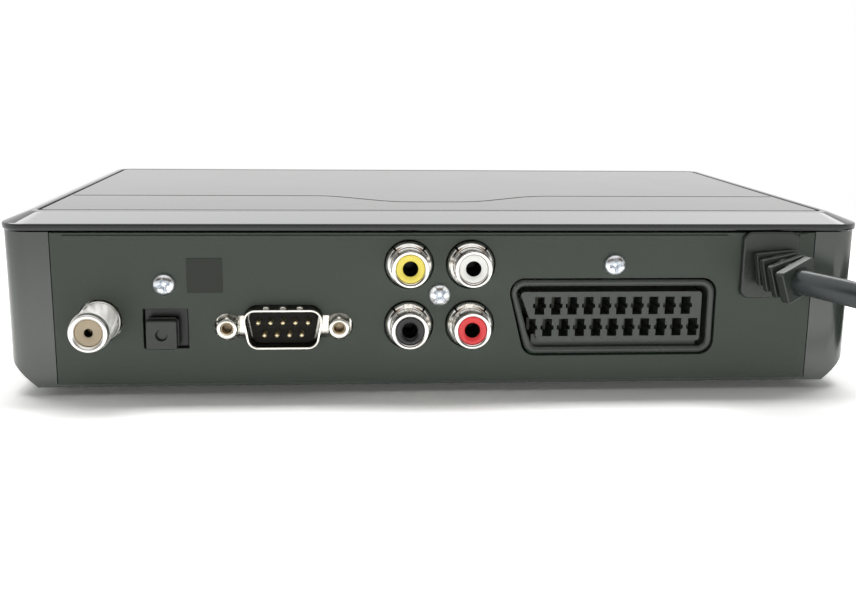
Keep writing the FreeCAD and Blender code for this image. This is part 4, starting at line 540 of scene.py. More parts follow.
leadCurve = bpy.data.curves.new("mainsLead", "CURVE")
leadCurve.dimensions = "3D"
leadCurve.bevel_depth = leadSizes["width"] / 2 * mm
leadCurve.bevel_resolution = 6
leadCurve.resolution_u = 6
leadCurve.use_fill_caps = True
leadSpline = leadCurve.splines.new("NURBS")
leadSpline.points.add(len(leadPoints) - 1)
for point, place in zip(leadSpline.points, leadPoints):
    point.co = (*(place * mm), 1)
leadSpline.order_u = 3
leadSpline.use_endpoint_u = True
leadCurve.materials.append(finishes["cable_plastic"])
mainsLead = bpy.data.objects.new("mainsLead", leadCurve)
bpy.context.scene.collection.objects.link(mainsLead)
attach(mainsLead, "case")
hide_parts("mains_cord", "cord_coil")

# plug: a flat two-pin body with a ribbed nose, drawn along its own axis
plugSizes = {"nose": 18.0, "noseRibs": 33, "noseStart": 7.4, "noseSwell": 2.6, "grooveDepth": 0.9,
             "spacing": 19.0, "gripStart": 28.0, "gripPitch": 3.0, "halfThick": 6.85}
plugBodySections = [  # along, width, thickness, corner radius
    (18.4, 12.5, 10.6, 5.0), (19.4, 17.5, 11.3, 5.0), (21.0, 24.5, 12.4, 5.0), (23.5, 31.0, 13.3, 4.6),
    (26.5, 34.4, 13.65, 4.0), (30.0, 35.3, 13.7, 3.6), (36.6, 35.3, 13.7, 3.6), (37.5, 34.9, 13.3, 3.5),
    (38.0, 33.9, 12.3, 3.2)]
plugPinProfile = [(1.9, 36.0), (1.9, 47.5), (2.0, 47.7), (2.0, 55.8), (1.85, 56.5), (1.4, 56.9), (0.5, 57.0)]


def plugSection(along, width, thick, corner):
    corner = min(corner, width / 2 - 0.01, thick / 2 - 0.01)
    return [(x, along, z) for x, z in roundedRect(width, thick, corner, 7)]


def makePlug():
    sections = []
    last = plugSizes["noseRibs"] - 1
    for k in range(last + 1):                             # ribbed nose
        share = k / last
        groove = plugSizes["grooveDepth"] if (k % 6 in (3, 4) and 3 < k < last - 3) else 0.0
        size = plugSizes["noseStart"] + plugSizes["noseSwell"] * share - groove - (0.5 if k == 0 else 0.0)
        sections.append(plugSection(plugSizes["nose"] * share, size, size, size / 2))
    sections += [plugSection(*section) for section in plugBodySections]
    body = loft(sections)
    slots = []
    for step in range(3):                                 # finger grooves, on both broad faces
        for side in (-1, 1):
            slot = softPrism(roundedRect(16.0, 1.0, 0.45, 4), -0.6, 0.6, 0.2)
            slots.append(shifted(slot, y=plugSizes["gripStart"] + plugSizes["gripPitch"] * step,
                                 z=side * plugSizes["halfThick"]))
    body = carved(body, *slots)
    pins = []
    for side in (-1, 1):
        pin = turned(plugPinProfile, 28, marks=[0, 0, 1, 1, 1, 1], capMarks=(0, 1))
        pins.append(shifted(pin, x=side * plugSizes["spacing"] / 2))
    return body, joined(*pins)


plugBody, plugPins = makePlug()
acrossWay = Vector((lastWay.y, -lastWay.x, 0.0))
plugPlace = Matrix.Translation(plugStart) @ Matrix((
    (acrossWay.x, lastWay.x, 0, 0), (acrossWay.y, lastWay.y, 0, 0), (0, 0, 1, 0), (0, 0, 0, 1)))
plug = addPiece("mainsPlug", moved(plugBody, plugPlace), ["cable_plastic"], stands=["mains_plug"])
plugPinPiece = addPiece("plugPins", moved(plugPins, plugPlace), ["cable_plastic", "nickel"],
                        stands=["plug_pins"])

# hook-and-loop tie round the coil, on the side nearest the box
tieSizes = {"inside": 21.0, "outside": 42.4, "top": 12.9, "thick": 0.8, "wide": 9.0}


def makeTie():
    width = tieSizes["outside"] - tieSizes["inside"]
    outer = roundedRect(width, tieSizes["top"] - 0.04, 2.9, 6)
    inner = inset(outer, tieSizes["thick"])
    half = tieSizes["wide"] / 2
    rings = [[(x, y, z) for x, z in line] for line, y in
             ((outer, -half + 0.2), (outer, half - 0.2), (inset(outer, 0.2), half),
              (inset(inner, -0.2), half), (inner, half - 0.2), (inner, -half + 0.2),
              (inset(inner, -0.2), -half), (inset(outer, 0.2), -half))]
    band = loft(rings, around=True)
    flap = softPrism(roundedRect(13.0, 0.8, 0.35, 3), -half + 0.3, half - 0.3, 0.25)
    flap = shifted(flap, x=2.0, z=tieSizes["top"] / 2 + 0.3)
    return shifted(joined(band, flap), x=(tieSizes["outside"] + tieSizes["inside"]) / 2,
                   z=tieSizes["top"] / 2 + 0.02)


centre = leadSizes["coilCentre"]
tie = addPiece("coilTie", shifted(makeTie(), x=centre[0], y=centre[1]), ["rubber"])
print("mains lead made")

# grommet of stepped fins that holds the lead
grommetSizes = {"gland": (-75.75, 29.9), "rear": 51.0, "plate": (13.0, 15.5, 2.0, 1.5), "core": 6.6,
                "fins": 4}


def grommetPlace(share):
    bend = share ** 2.5
    across, up = grommetSizes["gland"]
    spot = Vector((across - 2.65 * bend - 0.9 * (1 - share), grommetSizes["rear"] + 1.5 + 10.7 * share,
                   up - 1.9 * share))
    return Matrix.Translation(spot) @ Matrix.Rotation(math.radians(30 * share), 4, "Z") @ \
        Matrix.Rotation(math.radians(16 * share), 4, "Y")


def makeGrommet():
    width, height, corner, thick = grommetSizes["plate"]
    plate = softPrism(roundedRect(width, height, corner, 8), 51.0, 51.0 + thick, 0.45, 0.1, steps=4)
    plate = shifted(plate, x=grommetSizes["gland"][0], z=grommetSizes["gland"][1] - 0.25)
    throat = softPrism(roundedRect(8.4, 10.4, 1.6, 6), 46.1, 51.4, 0.4)
    throat = shifted(throat, x=grommetSizes["gland"][0], z=grommetSizes["gland"][1])
    rings = []
    for k in range(13):
        place = grommetPlace(k / 12)
        radius = grommetSizes["core"] / 2
        rings.append([place @ Vector((radius * math.cos(a), 0, radius * math.sin(a)))
                      for a in [2 * math.pi * i / 32 for i in range(32)]])
    core = loft(rings)
    fins = []
    for k in range(grommetSizes["fins"]):
        share = (k + 1) / grommetSizes["fins"]
        thickness = 2.2 if k == grommetSizes["fins"] - 1 else 1.6
        top, low = 5.2 + 0.3 * share ** 2, 4.5 - 0.2 * share
        outline = roundedPolygon([(-low, -3.85), (low, -3.85), (top, 3.85), (-top, 3.85)], 0.7, 5)
        fin = softPrism(outline, -thickness, 0, 0.26, 0.26, steps=3)
        fins.append(moved(fin, grommetPlace(share)))
    return joined(plate, throat, core, *fins)


addPiece("leadGrommet", makeGrommet(), ["grommet_plastic"], stands=["strain_relief"])
print("grommet made")

# lid: gloss bevel all round, a groove, and a satin field crossed by a bent groove
lidSizes = {"halfWidth": 97.9, "front": -63.1, "back": 52.1, "cornerSteps": 10, "waveBack": 15.0,
            "waveBow": 27.4, "waveBend": 14.0, "lip": 0.66, "posts": [(83.9, -5.0), (83.9, -47.5)]}
lidStations = [  # side inset, end inset, height, corner radius
    (3.1, 3.1, 39.0, 4.0), (3.1, 3.1, 37.6, 4.0), (0.35, 0.35, 37.6, 6.75), (0.1, 0.1, 37.68, 7.0),
    (0.0, 0.0, 37.9, 7.1), (0.0, 0.0, 38.7, 7.1), (0.05, 0.06, 38.88, 7.05), (0.22, 0.25, 39.04, 6.95),
    (0.5, 0.56, 39.15, 6.8), (5.2, 5.85, 40.95, 3.9), (5.45, 6.13, 41.05, 3.7), (5.7, 6.4, 41.1, 3.5),
    (6.45, 8.15, 41.1, 2.6), (6.62, 8.32, 41.03, 2.5), (6.7, 8.4, 40.88, 2.42), (6.72, 8.42, 40.5, 2.4),
    (7.58, 9.28, 40.5, 1.52), (7.6, 9.3, 40.88, 1.5), (7.68, 9.38, 41.03, 1.45), (7.85, 9.55, 41.1, 1.4)]
lidMarks = [0] * 18 + [1]                               # the last row turns into the field


def lidRing(side, end, height, radius):
    half = lidSizes["halfWidth"] - side
    back, front = lidSizes["back"] - end, lidSizes["front"] + end
    steps = lidSizes["cornerSteps"]
    gap = lidSizes["lip"]
    wave = lidSizes["waveBack"]

    def corner(cx, cy, start):
        return [(cx + radius * math.cos(math.radians(start + 90 * k / steps)),
                 cy + radius * math.sin(math.radians(start + 90 * k / steps)), height)
                 for k in range(steps + 1)]
    ring = corner(half - radius, back - radius, 0) + corner(radius - half, back - radius, 90)
    ring += [(-half, wave + gap, height), (-half, wave - gap, height)]
    ring += corner(radius - half, front + radius, 180) + corner(half - radius, front + radius, 270)
    ring += [(half, wave - gap, height), (half, wave + gap, height)]
    return ring


def waveLine(reach):
    # centre line of the bent groove, with smooth bends
    back, bow = lidSizes["waveBack"], lidSizes["waveBow"]
    corners = [Vector(p) for p in ((-reach, back), (-26, back), (-10, bow), (10, bow), (26, back),
                                   (reach, back))]
    line = [corners[0]]
    for before, here, after in zip(corners, corners[1:], corners[2:]):
        one, two = (here - before), (after - here)
        turn = one.angle(two)
        trim = min(lidSizes["waveBend"] * math.tan(turn / 2), 0.45 * one.length, 0.45 * two.length)
        start, end = here - one.normalized() * trim, here + two.normalized() * trim
        for k in range(9):
            part = k / 8
            line.append(start * (1 - part) ** 2 + here * 2 * part * (1 - part) + end * part ** 2)
    line.append(corners[-1])
    return line


def makeLid():
    rings = [lidRing(*station) for station in lidStations]
    shell = loft(rings, marks=lidMarks, endCap=False)
    count = len(rings[0])
    base = (len(rings) - 1) * count
    steps = lidSizes["cornerSteps"] + 1
    leftRear, leftFront = base + 2 * steps, base + 2 * steps + 1
    rightFront, rightRear = base + count - 2, base + count - 1
    line = waveLine(lidSizes["halfWidth"] - lidStations[-1][0] - 0.4)
    rows = []
    for offset, height in ((lidSizes["lip"], 41.1), (0.53, 41.04), (0.46, 40.9), (0.44, 40.5),
                           (-0.44, 40.5), (-0.46, 40.9), (-0.53, 41.04), (-lidSizes["lip"], 41.1)):
        row = []
        for i, here in enumerate(line):
            before, after = line[max(i - 1, 0)], line[min(i + 1, len(line) - 1)]
            way = (after - before).normalized()
            row.append((here.x - way.y * offset, here.y + way.x * offset, height))
        rows.append(row)
    first = len(shell["verts"])
    length = len(line)
    shell["verts"] += [Vector(v) for row in rows for v in row]

    def at(row, index):
        return first + row * length + index
    for row in range(len(rows) - 1):
        for i in range(length - 1):
            shell["faces"].append([at(row, i), at(row, i + 1), at(row + 1, i + 1), at(row + 1, i)])
            shell["marks"].append(0)
    last = len(rows) - 1
    rearRow, frontRow = [at(0, i) for i in range(length)], [at(last, i) for i in range(length - 1, -1, -1)]
    rearField = [rightRear] + [base + i for i in range(2 * steps)] + [leftRear] + rearRow
    frontField = [leftFront] + [base + 2 * steps + 2 + i for i in range(2 * steps)] + [rightFront] + frontRow
    shell["faces"] += [rearField, frontField, [leftRear, leftFront, at(last, 0), at(0, 0)],
                       [rightFront, rightRear, at(0, length - 1), at(last, length - 1)],
                       [at(row, 0) for row in range(last + 1)],
                       [at(row, length - 1) for row in range(last, -1, -1)]]
    shell["marks"] += [1, 1, 1, 1, 0, 0]
    upright = Matrix.Rotation(math.radians(90), 4, "X")
    posts = []
    for side in (-1, 1):
        for x, y in lidSizes["posts"]:
            post = turned([(1.3, 21.9), (2.7, 21.9), (2.9, 22.2), (2.9, 39.4), (1.3, 39.4)], 24, around=True)
            posts.append(shifted(moved(post, upright), x=side * x, y=y))
    return joined(shell, *posts)


addPiece("lid", makeLid(), ["cover_plastic", "cover_field"], stands=["top_cover"], sharp=40)
print("lid made")

# four phono jacks
jackSizes = {"centre": (0.43, 22.83), "pitch": 14.0, "reach": 57.6, "notches": (48, 132)}


def jackSpots():
    x, z = jackSizes["centre"]
    half = jackSizes["pitch"] / 2
    return {"yellow": (x + half, z + half), "white": (x - half, z + half),
            "black": (x + half, z - half), "red": (x - half, z - half)}


def makeCup():
    reach = jackSizes["reach"]
    profile = [(3.22, 48.6), (3.22, reach - 0.4), (3.26, reach - 0.26), (3.34, reach - 0.16),
               (3.48, reach - 0.08), (3.64, reach - 0.02), (3.76, reach), (3.98, reach), (4.1, reach - 0.08),
               (4.15, reach - 0.25), (4.15, 52.9), (4.2, 52.7), (4.35, 52.56), (4.6, 52.45), (4.88, 52.22),
               (5.12, 51.88), (5.3, 51.45), (5.4, 50.9), (5.4, 48.6)]
    cup = turned(profile, 64, around=True)
    notches = []
    for angle in jackSizes["notches"]:
        # the notch walls take mark 1, the painted shade black
        notch = softPrism(roundedRect(1.3, 0.5, 0.2, 3), 51.0, 54.0, 0.1, marks=1)
        turn = Matrix.Rotation(math.radians(-angle), 4, "Y")
        notches.append(moved(shifted(notch, x=5.15), turn))
    return carved(cup, *notches)


cup = makeCup()
cups = []
for ringName, (x, z) in jackSpots().items():
    cups.append(shifted(cup, x=x, z=z))
    reach = jackSizes["reach"]
    ringProfile = [(1.62, 49.0), (1.62, reach - 1.1), (1.72, reach - 0.8), (1.95, reach - 0.58),
                   (2.5, reach - 0.45), (2.95, reach - 0.38), (3.12, reach - 0.45), (3.19, reach - 0.7),
                   (3.19, 49.0)]
    # the bore and its chamfer take mark 1, the painted shade black
    ring = turned(ringProfile, 48, around=True, marks=[1, 1, 0, 0, 0, 0, 0, 0, 0])
    slotName = "jack_black_plastic" if ringName == "black" else ringName + "_plastic"
    addPiece("jackRing" + ringName.capitalize(), shifted(ring, x=x, z=z), [slotName, "hole_black"],
             stands=["jack_ring_" + ringName])
addPiece("jackCups", joined(*cups), ["nickel", "hole_black"], stands=["jack_cups"])
print("jacks made")

# aerial socket: threaded barrel, insulator and contact
aerialSizes = {"place": (76.45, 17.13), "pitch": 1.15, "depth": 0.5, "threadStart": 51.9, "threadEnd": 61.0}


def threadWave(angle, along):
    start, end = aerialSizes["threadStart"], aerialSizes["threadEnd"]
    fade = min(1.0, max(0.0, (along - start) / 0.5), max(0.0, (end - along) / 0.5))
    phase = (along / aerialSizes["pitch"] - angle / (2 * math.pi)) % 1.0
    return -aerialSizes["depth"] * fade * (1 - abs(2 * phase - 1))


def makeAerial():
    profile = [(2.95, 48.7), (2.95, 62.35), (3.02, 62.6), (3.2, 62.75), (3.4, 62.95), (3.6, 63.05),
               (3.88, 63.05), (4.1, 62.95), (4.2, 62.75), (4.2, 61.5), (4.22, 61.3), (4.3, 61.15),
               (4.43, 61.0)]
    along = 60.95
    while along > 52.05:
        profile.append((4.45, along))
        along -= 0.0775
    profile += [(4.45, 52.0), (4.5, 51.9), (4.6, 51.85), (4.7, 51.7), (4.7, 48.7)]
    barrel = turned(profile, 72, wave=threadWave, around=True)
    for number, face in enumerate(barrel["faces"]):        # the bottom of the groove is painted darker: painted shade
        middle = sum((barrel["verts"][i] for i in face), Vector()) / len(face)
        radius = math.hypot(middle.x, middle.z)
        threaded = aerialSizes["threadStart"] < middle.y < aerialSizes["threadEnd"]
        if threaded and 3.9 < radius < 4.45 - 0.55 * aerialSizes["depth"]:
            barrel["marks"][number] = 1
    return barrel


def makeAerialCore():
    face = [(0.75, 61.2), (0.75, 61.9), (0.95, 62.15), (1.3, 62.3), (2.6, 62.36), (2.85, 62.3), (2.94, 62.1),
            (2.94, 48.8), (0.75, 48.8)]
    # the insulator's bore takes mark 1, the painted shade black
    insulator = turned(face, 48, around=True, marks=[1, 1, 0, 0, 0, 0, 0, 0, 1])
    contact = turned([(0.72, 49.0), (0.72, 59.6), (0.6, 59.9), (0.3, 60.0)], 20)
    return joined(insulator, painted(contact, 2))


x, z = aerialSizes["place"]
addPiece("aerialBarrel", shifted(makeAerial(), x=x, z=z), ["satin_nickel", "thread_shade"],
         stands=["antenna_barrel"], sharp=50)
addPiece("aerialCore", shifted(makeAerialCore(), x=x, z=z), ["beige_plastic", "hole_black", "bore_brass"],
         stands=["antenna_insulator"])
print("aerial socket made")

# plug that keeps dust out of the optical socket
dustSizes = {"place": (62.6, 14.42), "stem": 5.6, "flange": 7.2, "neck": 6.0, "head": (6.8, 6.6)}


def makeDustPlug():
    wide, tall = dustSizes["head"]
    stem = softPrism(roundedRect(dustSizes["stem"], dustSizes["stem"], 1.0, 5), 43.2, 51.2, 0.5)
    flange = softPrism(roundedRect(dustSizes["flange"], dustSizes["flange"], 1.1, 6), 51.05, 51.9, 0.2, 0.1)
    neck = softPrism(roundedRect(dustSizes["neck"], dustSizes["neck"], 0.9, 5), 51.6, 52.5, 0.1)
    head = softPrism(roundedRect(wide, tall, 0.45, 5), 52.15, 54.0, 0.28, 0.15, steps=4)
    dimple = turned([(1.1, 52.9), (1.3, 53.1), (1.36, 54.6)], 32)
    return joined(stem, flange, neck, carved(head, dimple))


x, z = dustSizes["place"]
addPiece("dustPlug", shifted(makeDustPlug(), x=x, z=z), ["plug_plastic"], body="dust_cap",
         stands=["dust_plug"])
print("dust plug made")

# pan head screws with a cross recess
screwSizes = {"places": [(62.0, 25.45), (0.43, 22.83), (-39.7, 29.65)], "turns": [20, 47, 8],
              "shank": 1.45, "thread": 0.3}


def makeScrew():
    head = turned([(2.35, 50.95), (2.5, 51.2), (2.5, 51.6), (2.38, 51.95), (2.05, 52.3), (1.5, 52.55),
                   (0.8, 52.67), (0.2, 52.7)], 48)
    slots = []
    for turn in (0, 90):
        rings = []
        for along, length, width in ((51.3, 1.0, 0.4), (52.0, 2.2, 0.66), (52.9, 3.5, 0.98)):
            rings.append([(px, along, pz) for px, pz in roundedRect(length, width, 0.12, 2)])
        slots.append(moved(loft(rings), Matrix.Rotation(math.radians(turn), 4, "Y")))
    for turn in (45, 135):                                # short strokes between the arms
        rings = []
        for along, length, width in ((52.2, 0.8, 0.06), (52.9, 2.9, 0.2)):
            rings.append([(px, along, pz) for px, pz in roundedRect(length, width, 0.02, 1)])
        slots.append(moved(loft(rings), Matrix.Rotation(math.radians(turn), 4, "Y")))
    head = carved(head, *slots)

    def screwThread(angle, along):
        phase = (along / 1.0 - angle / (2 * math.pi)) % 1.0
        return -screwSizes["thread"] * (1 - abs(2 * phase - 1)) if along < 50.8 else 0.0
    radius = screwSizes["shank"]
    shank = [(0.4, 43.0), (1.1, 43.6)] + [(radius, 43.8 + 0.16 * k) for k in range(45)] + [(radius, 51.2)]
    return joined(head, turned(shank, 28, wave=screwThread))


screw = makeScrew()
screws = []
for (x, z), turn in zip(screwSizes["places"], screwSizes["turns"]):
    screws.append(shifted(moved(screw, Matrix.Rotation(math.radians(turn), 4, "Y")), x=x, z=z))
addPiece("rearScrews", joined(*screws), ["zinc"], stands=["rear_screws"])
print("screws made")

# serial plug: shell with a turned rim, pins and jackscrews
serialSizes = {"place": (35.72, 15.68), "top": 9.32, "low": 7.68, "tall": 4.53, "round": 2.6, "rim": 54.6,
               "wall": 0.5, "pinPitch": 2.77, "pinRow": 2.84, "pinTip": 54.2, "spacing": 24.99,
               "flats": 4.75, "nutReach": 53.65, "bore": 1.2}


def serialOutline(back):
    top, low, tall = serialSizes["top"], serialSizes["low"], serialSizes["tall"]
    return inset(roundedPolygon([(-low, -tall), (low, -tall), (top, tall), (-top, tall)],
                                serialSizes["round"], 7), back)


def makeSerialShell():
    rim, wall = serialSizes["rim"], serialSizes["wall"]
    rings = []
    for back, along in ((0.0, 48.2), (0.0, rim - 0.12), (0.03, rim - 0.03), (0.1, rim), (wall - 0.1, rim),
                        (wall - 0.03, rim - 0.06), (wall, rim - 0.18), (wall, 48.2)):
        rings.append([(px, along, pz) for px, pz in serialOutline(back)])
    # mark 1 gives the outer flank, the inner wall and the back the darkened tin: painted shade
    shell = loft(rings, marks=[1, 0, 0, 0, 0, 0, 1, 1], around=True)
    plate = softPrism(roundedRect(30.79, 12.5, 1.6, 5), 47.85, 48.65, 0.12)
    bumps = []
    for step in (-1, 0, 1):
        dome = turned([(0.78, -0.3), (0.76, 0.25), (0.6, 0.48), (0.3, 0.6)], 24)
        dome = moved(dome, Matrix.Rotation(math.radians(90), 4, "X"))
        bumps.append(shifted(dome, x=3.75 * step, y=53.3, z=serialSizes["tall"]))
    return joined(shell, plate, *bumps)


def hexRing(flats, along, count=48):
    ring = []
    for k in range(count):
        angle = 2 * math.pi * k / count
        radius = flats / 2 / math.cos((angle + math.pi / 6) % (math.pi / 3) - math.pi / 6)
        ring.append((radius * math.cos(angle), along, radius * math.sin(angle)))
    return ring


def roundRing(radius, along, count=48):
    return [(radius * math.cos(2 * math.pi * k / count), along, radius * math.sin(2 * math.pi * k / count))
            for k in range(count)]


def makeNut():
    reach, bore = serialSizes["nutReach"], serialSizes["bore"]
    rings = [hexRing(serialSizes["flats"], 48.9), hexRing(serialSizes["flats"], reach - 0.55),
             hexRing(serialSizes["flats"] - 0.16, reach - 0.42), roundRing(2.3, reach - 0.26),
             roundRing(2.26, reach - 0.08), roundRing(2.16, reach), roundRing(bore + 0.34, reach),
             roundRing(bore + 0.12, reach - 0.3)]
    marks = [0] * (len(rings) - 1)
    along = reach - 0.3
    turnNumber = 0
    while along > 50.6:                                    # thread in the bore
        rings.append(roundRing(bore - (0.16 if turnNumber % 2 else 0.0), along))
        along -= 0.22
        turnNumber += 1
    marks += [1] * (len(rings) - 1 - len(marks))
    return loft(rings, marks=marks, capMarks=(0, 1))


def makePins():
    pins = []
    for row, count in ((1, 5), (-1, 4)):
        for k in range(count):
            tip = serialSizes["pinTip"]
            pin = turned([(0.52, 42.7), (0.52, tip - 0.9), (0.5, tip - 0.5), (0.4, tip - 0.16), (0.18, tip)],
                         20)
            place = (k - (count - 1) / 2) * serialSizes["pinPitch"]
            pins.append(shifted(pin, x=place, z=row * serialSizes["pinRow"] / 2))
    return joined(*pins)


x, z = serialSizes["place"]
addPiece("serialShell", shifted(makeSerialShell(), x=x, z=z), ["tin", "dull_tin"], stands=["serial_shell"],
         sharp=50)
addPiece("serialPins", shifted(makePins(), x=x, z=z), ["gold"], stands=["serial_pins"])
half = serialSizes["spacing"] / 2
nuts = [shifted(makeNut(), x=x + half, z=z), shifted(makeNut(), x=x - half, z=z)]
addPiece("jackscrewNuts", joined(*nuts), ["tin", "bore_brass"], stands=["jackscrews"], sharp=40)
print("serial plug made")

# raised bead round the wide socket, and the small clip at the panel's corner
beadSizes = {"left": -63.5, "right": -15.3, "low": 8.8, "high": 26.0, "slant": 4.5, "round": 3.0,
             "clip": (-83.7, 36.5, 2.2, 0.75)}


def beadOutline(back):
    left, right = beadSizes["left"] + back, beadSizes["right"] - back
    low, high = beadSizes["low"] + back, beadSizes["high"] - back
    return roundedPolygon([(left, low), (right - beadSizes["slant"], low), (right, high), (left, high)],
                          beadSizes["round"] - 0.8 * back, 8)


beadRings = [[(px, along, pz) for px, pz in beadOutline(back)] for back, along in (
    (0.06, 50.2), (0.06, 50.62), (0.14, 50.8), (0.32, 50.92), (0.62, 50.97), (0.95, 50.92), (1.18, 50.78),
    (1.28, 50.58), (1.28, 50.2))]
addPiece("wideSocketBead", loft(beadRings, around=True), ["socket_plastic"])
x, z, wide, tall = beadSizes["clip"]
addPiece("panelClip", shifted(softPrism(roundedRect(wide, tall, 0.2, 3), 50.8, 51.35, 0.15), x=x, z=z),
         ["body_plastic"])
print("wide socket bead made")

# rubber feet with a moulded rim
footSizes = {"places": [(74.0, 39.5), (-74.0, 39.5), (74.0, -50.5), (-74.0, -50.5)]}
foot = turned([(2.2, 0.6), (2.4, 0.25), (3.0, 0.0), (5.3, 0.0), (5.7, 0.12), (5.95, 0.5), (6.0, 1.2),
               (6.0, 2.2)], 48)
standing = Matrix.Rotation(math.radians(90), 4, "X")
feet = [shifted(moved(foot, standing), x=x, y=y) for x, y in footSizes["places"]]
addPiece("rubberFeet", joined(*feet), ["rubber"], stands=["rubber_feet"])
print("feet made")

# front buttons, each with a plain raised mark
buttonSizes = {"height": 19.9, "places": {"power": 63.78, "channel_up": 47.775, "channel_down": 31.77},
               "arc": (1.45, 1.1), "bar": (0.36, 1.5), "raised": 0.14}


def makeMark(kind):
    raised = buttonSizes["raised"]
    if kind == "power":
        outer, inner = [[(radius * math.sin(math.radians(a)), radius * math.cos(math.radians(a)))
                         for a in range(40, 321, 10)] for radius in buttonSizes["arc"]]
        bar = softPrism(roundedRect(*buttonSizes["bar"], 0.17, 3), 0, raised, 0.04)
        ring = softPrism(inner + outer[::-1], 0, raised, 0.03)
        return joined(ring, shifted(bar, z=1.0))
    tip = 1 if kind == "channel_up" else -1
    outline = [(-1.4, -0.8 * tip), (1.4, -0.8 * tip), (0.0, 1.3 * tip)]
    return softPrism(outline if tip > 0 else outline[::-1], 0, raised, 0.04)


for kind, x in buttonSizes["places"].items():
    cap = turned([(4.0, 56.8), (5.7, 56.9), (5.8, 57.1), (5.8, 58.3), (5.7, 58.45), (4.55, 58.5),
                  (4.5, 58.7), (4.5, 62.7), (4.42, 62.92), (4.2, 63.05), (3.9, 63.08), (3.4, 62.98),
                  (2.4, 62.86), (1.2, 62.8)], 56)
    mark = painted(shifted(makeMark(kind), y=62.78), 1)
    turnAround = Matrix.Rotation(math.radians(180), 4, "Z")
    whole = shifted(moved(joined(cap, mark), turnAround), x=x, z=buttonSizes["height"])
    addPiece(kind + "Button", whole, ["cover_plastic", "mark_paint"], body=kind + "_key",
             stands=[kind + "_button"])
print("buttons made")

# the CAD solids that stay, each with its finish, and eased edges on those listed
easedNodes = {"base_shell": 0.35, "rear_panel": 0.3, "front_fascia": 0.3, "scart_housing": 0.22,
              "optical_socket": 0.18, "serial_insulator": 0.15, "display_window": 0.2, "rear_sticker": 0.04,
              "scart_contacts": 0.08, "tuner_can": 0.2}
# the wide socket's contacts take the darkened tin and the jack contacts the near-black: both painted shade
# inside their holes
ownFinish = {"base_shell": "shell_plastic", "scart_contacts": "dull_tin", "jack_contacts": "hole_black",
             "serial_insulator": "insulator_black"}
for name, node in frame["nodes"].items():
    slotName = node.material_slots[0].material.name if node.material_slots else "body_plastic"
    slotName = ownFinish.get(name, slotName)
    if slotName in finishes:
        node.material_slots[0].material = finishes[slotName]
    if name in easedNodes:
        weld = node.modifiers.new("weld", "WELD")
        weld.merge_threshold = 0.000004
        flat = node.modifiers.new("flat", "DECIMATE")
        flat.decimate_type = "DISSOLVE"
        flat.angle_limit = math.radians(0.6)
        bevel = node.modifiers.new("ease", "BEVEL")
        bevel.width = easedNodes[name] * mm
        bevel.segments = 2
        bevel.limit_method = "ANGLE"
        bevel.angle_limit = math.radians(38)
        bevel.use_clamp_overlap = True
        node.modifiers.new("evenNormals", "WEIGHTED_NORMAL").keep_sharp = True
print("solids finished")

# floor, surroundings and lamps
stageSizes = {"floor": 8.0, "paper": (0.88, 0.88, 0.87, 1), "paperSeen": (1.50, 1.50, 1.48, 1),
              "whiteFrom": 0.14, "whiteTo": 0.36, "skyBehind": 0.62, "skyInFront": 0.05}
roomStops = [(0.00, (1, 1, 1, 1)), (0.10, (1, 1, 1, 1)), (0.24, (0.03, 0.027, 0.025, 1)),
             (0.50, (0.03, 0.027, 0.025, 1)),
             (0.68, (0.32, 0.22, 0.14, 1)), (0.80, (1, 1, 1, 1))]   # height in the sky, colour mirrored there
lamps = {  # metres and watts
    "backSoftbox": {"place": (0.0, -0.75, 0.79), "target": (0.0, 0.0, 0.04), "size": (1.5, 0.33),
                    "power": 4.8},
    "overheadSoftbox": {"place": (0.0, -0.31, 1.30), "target": (0.0, 0.0, 0.0), "size": (1.6, 0.26),
                        "power": 13.0, "mirrored": False},
    "frontFill": {"place": (0.0, 1.50, 0.14), "target": (0.0, 0.0, 0.02), "size": (1.4, 0.16), "power": 11.0,
                  "mirrored": False}}


def rampNode(tree, value, low, high):
    ramp = tree.nodes.new("ShaderNodeMapRange")
    ramp.interpolation_type = "SMOOTHSTEP"
    ramp.inputs["From Min"].default_value = low
    ramp.inputs["From Max"].default_value = high
    tree.links.new(value, ramp.inputs["Value"])
    return ramp.outputs["Result"]


def seenRays(tree):
    path = tree.nodes.new("ShaderNodeLightPath")
    return path, mathNode(tree, "MAXIMUM", path.outputs["Is Camera Ray"], mathNode(
        tree, "MAXIMUM", path.outputs["Is Glossy Ray"], path.outputs["Is Transmission Ray"]))


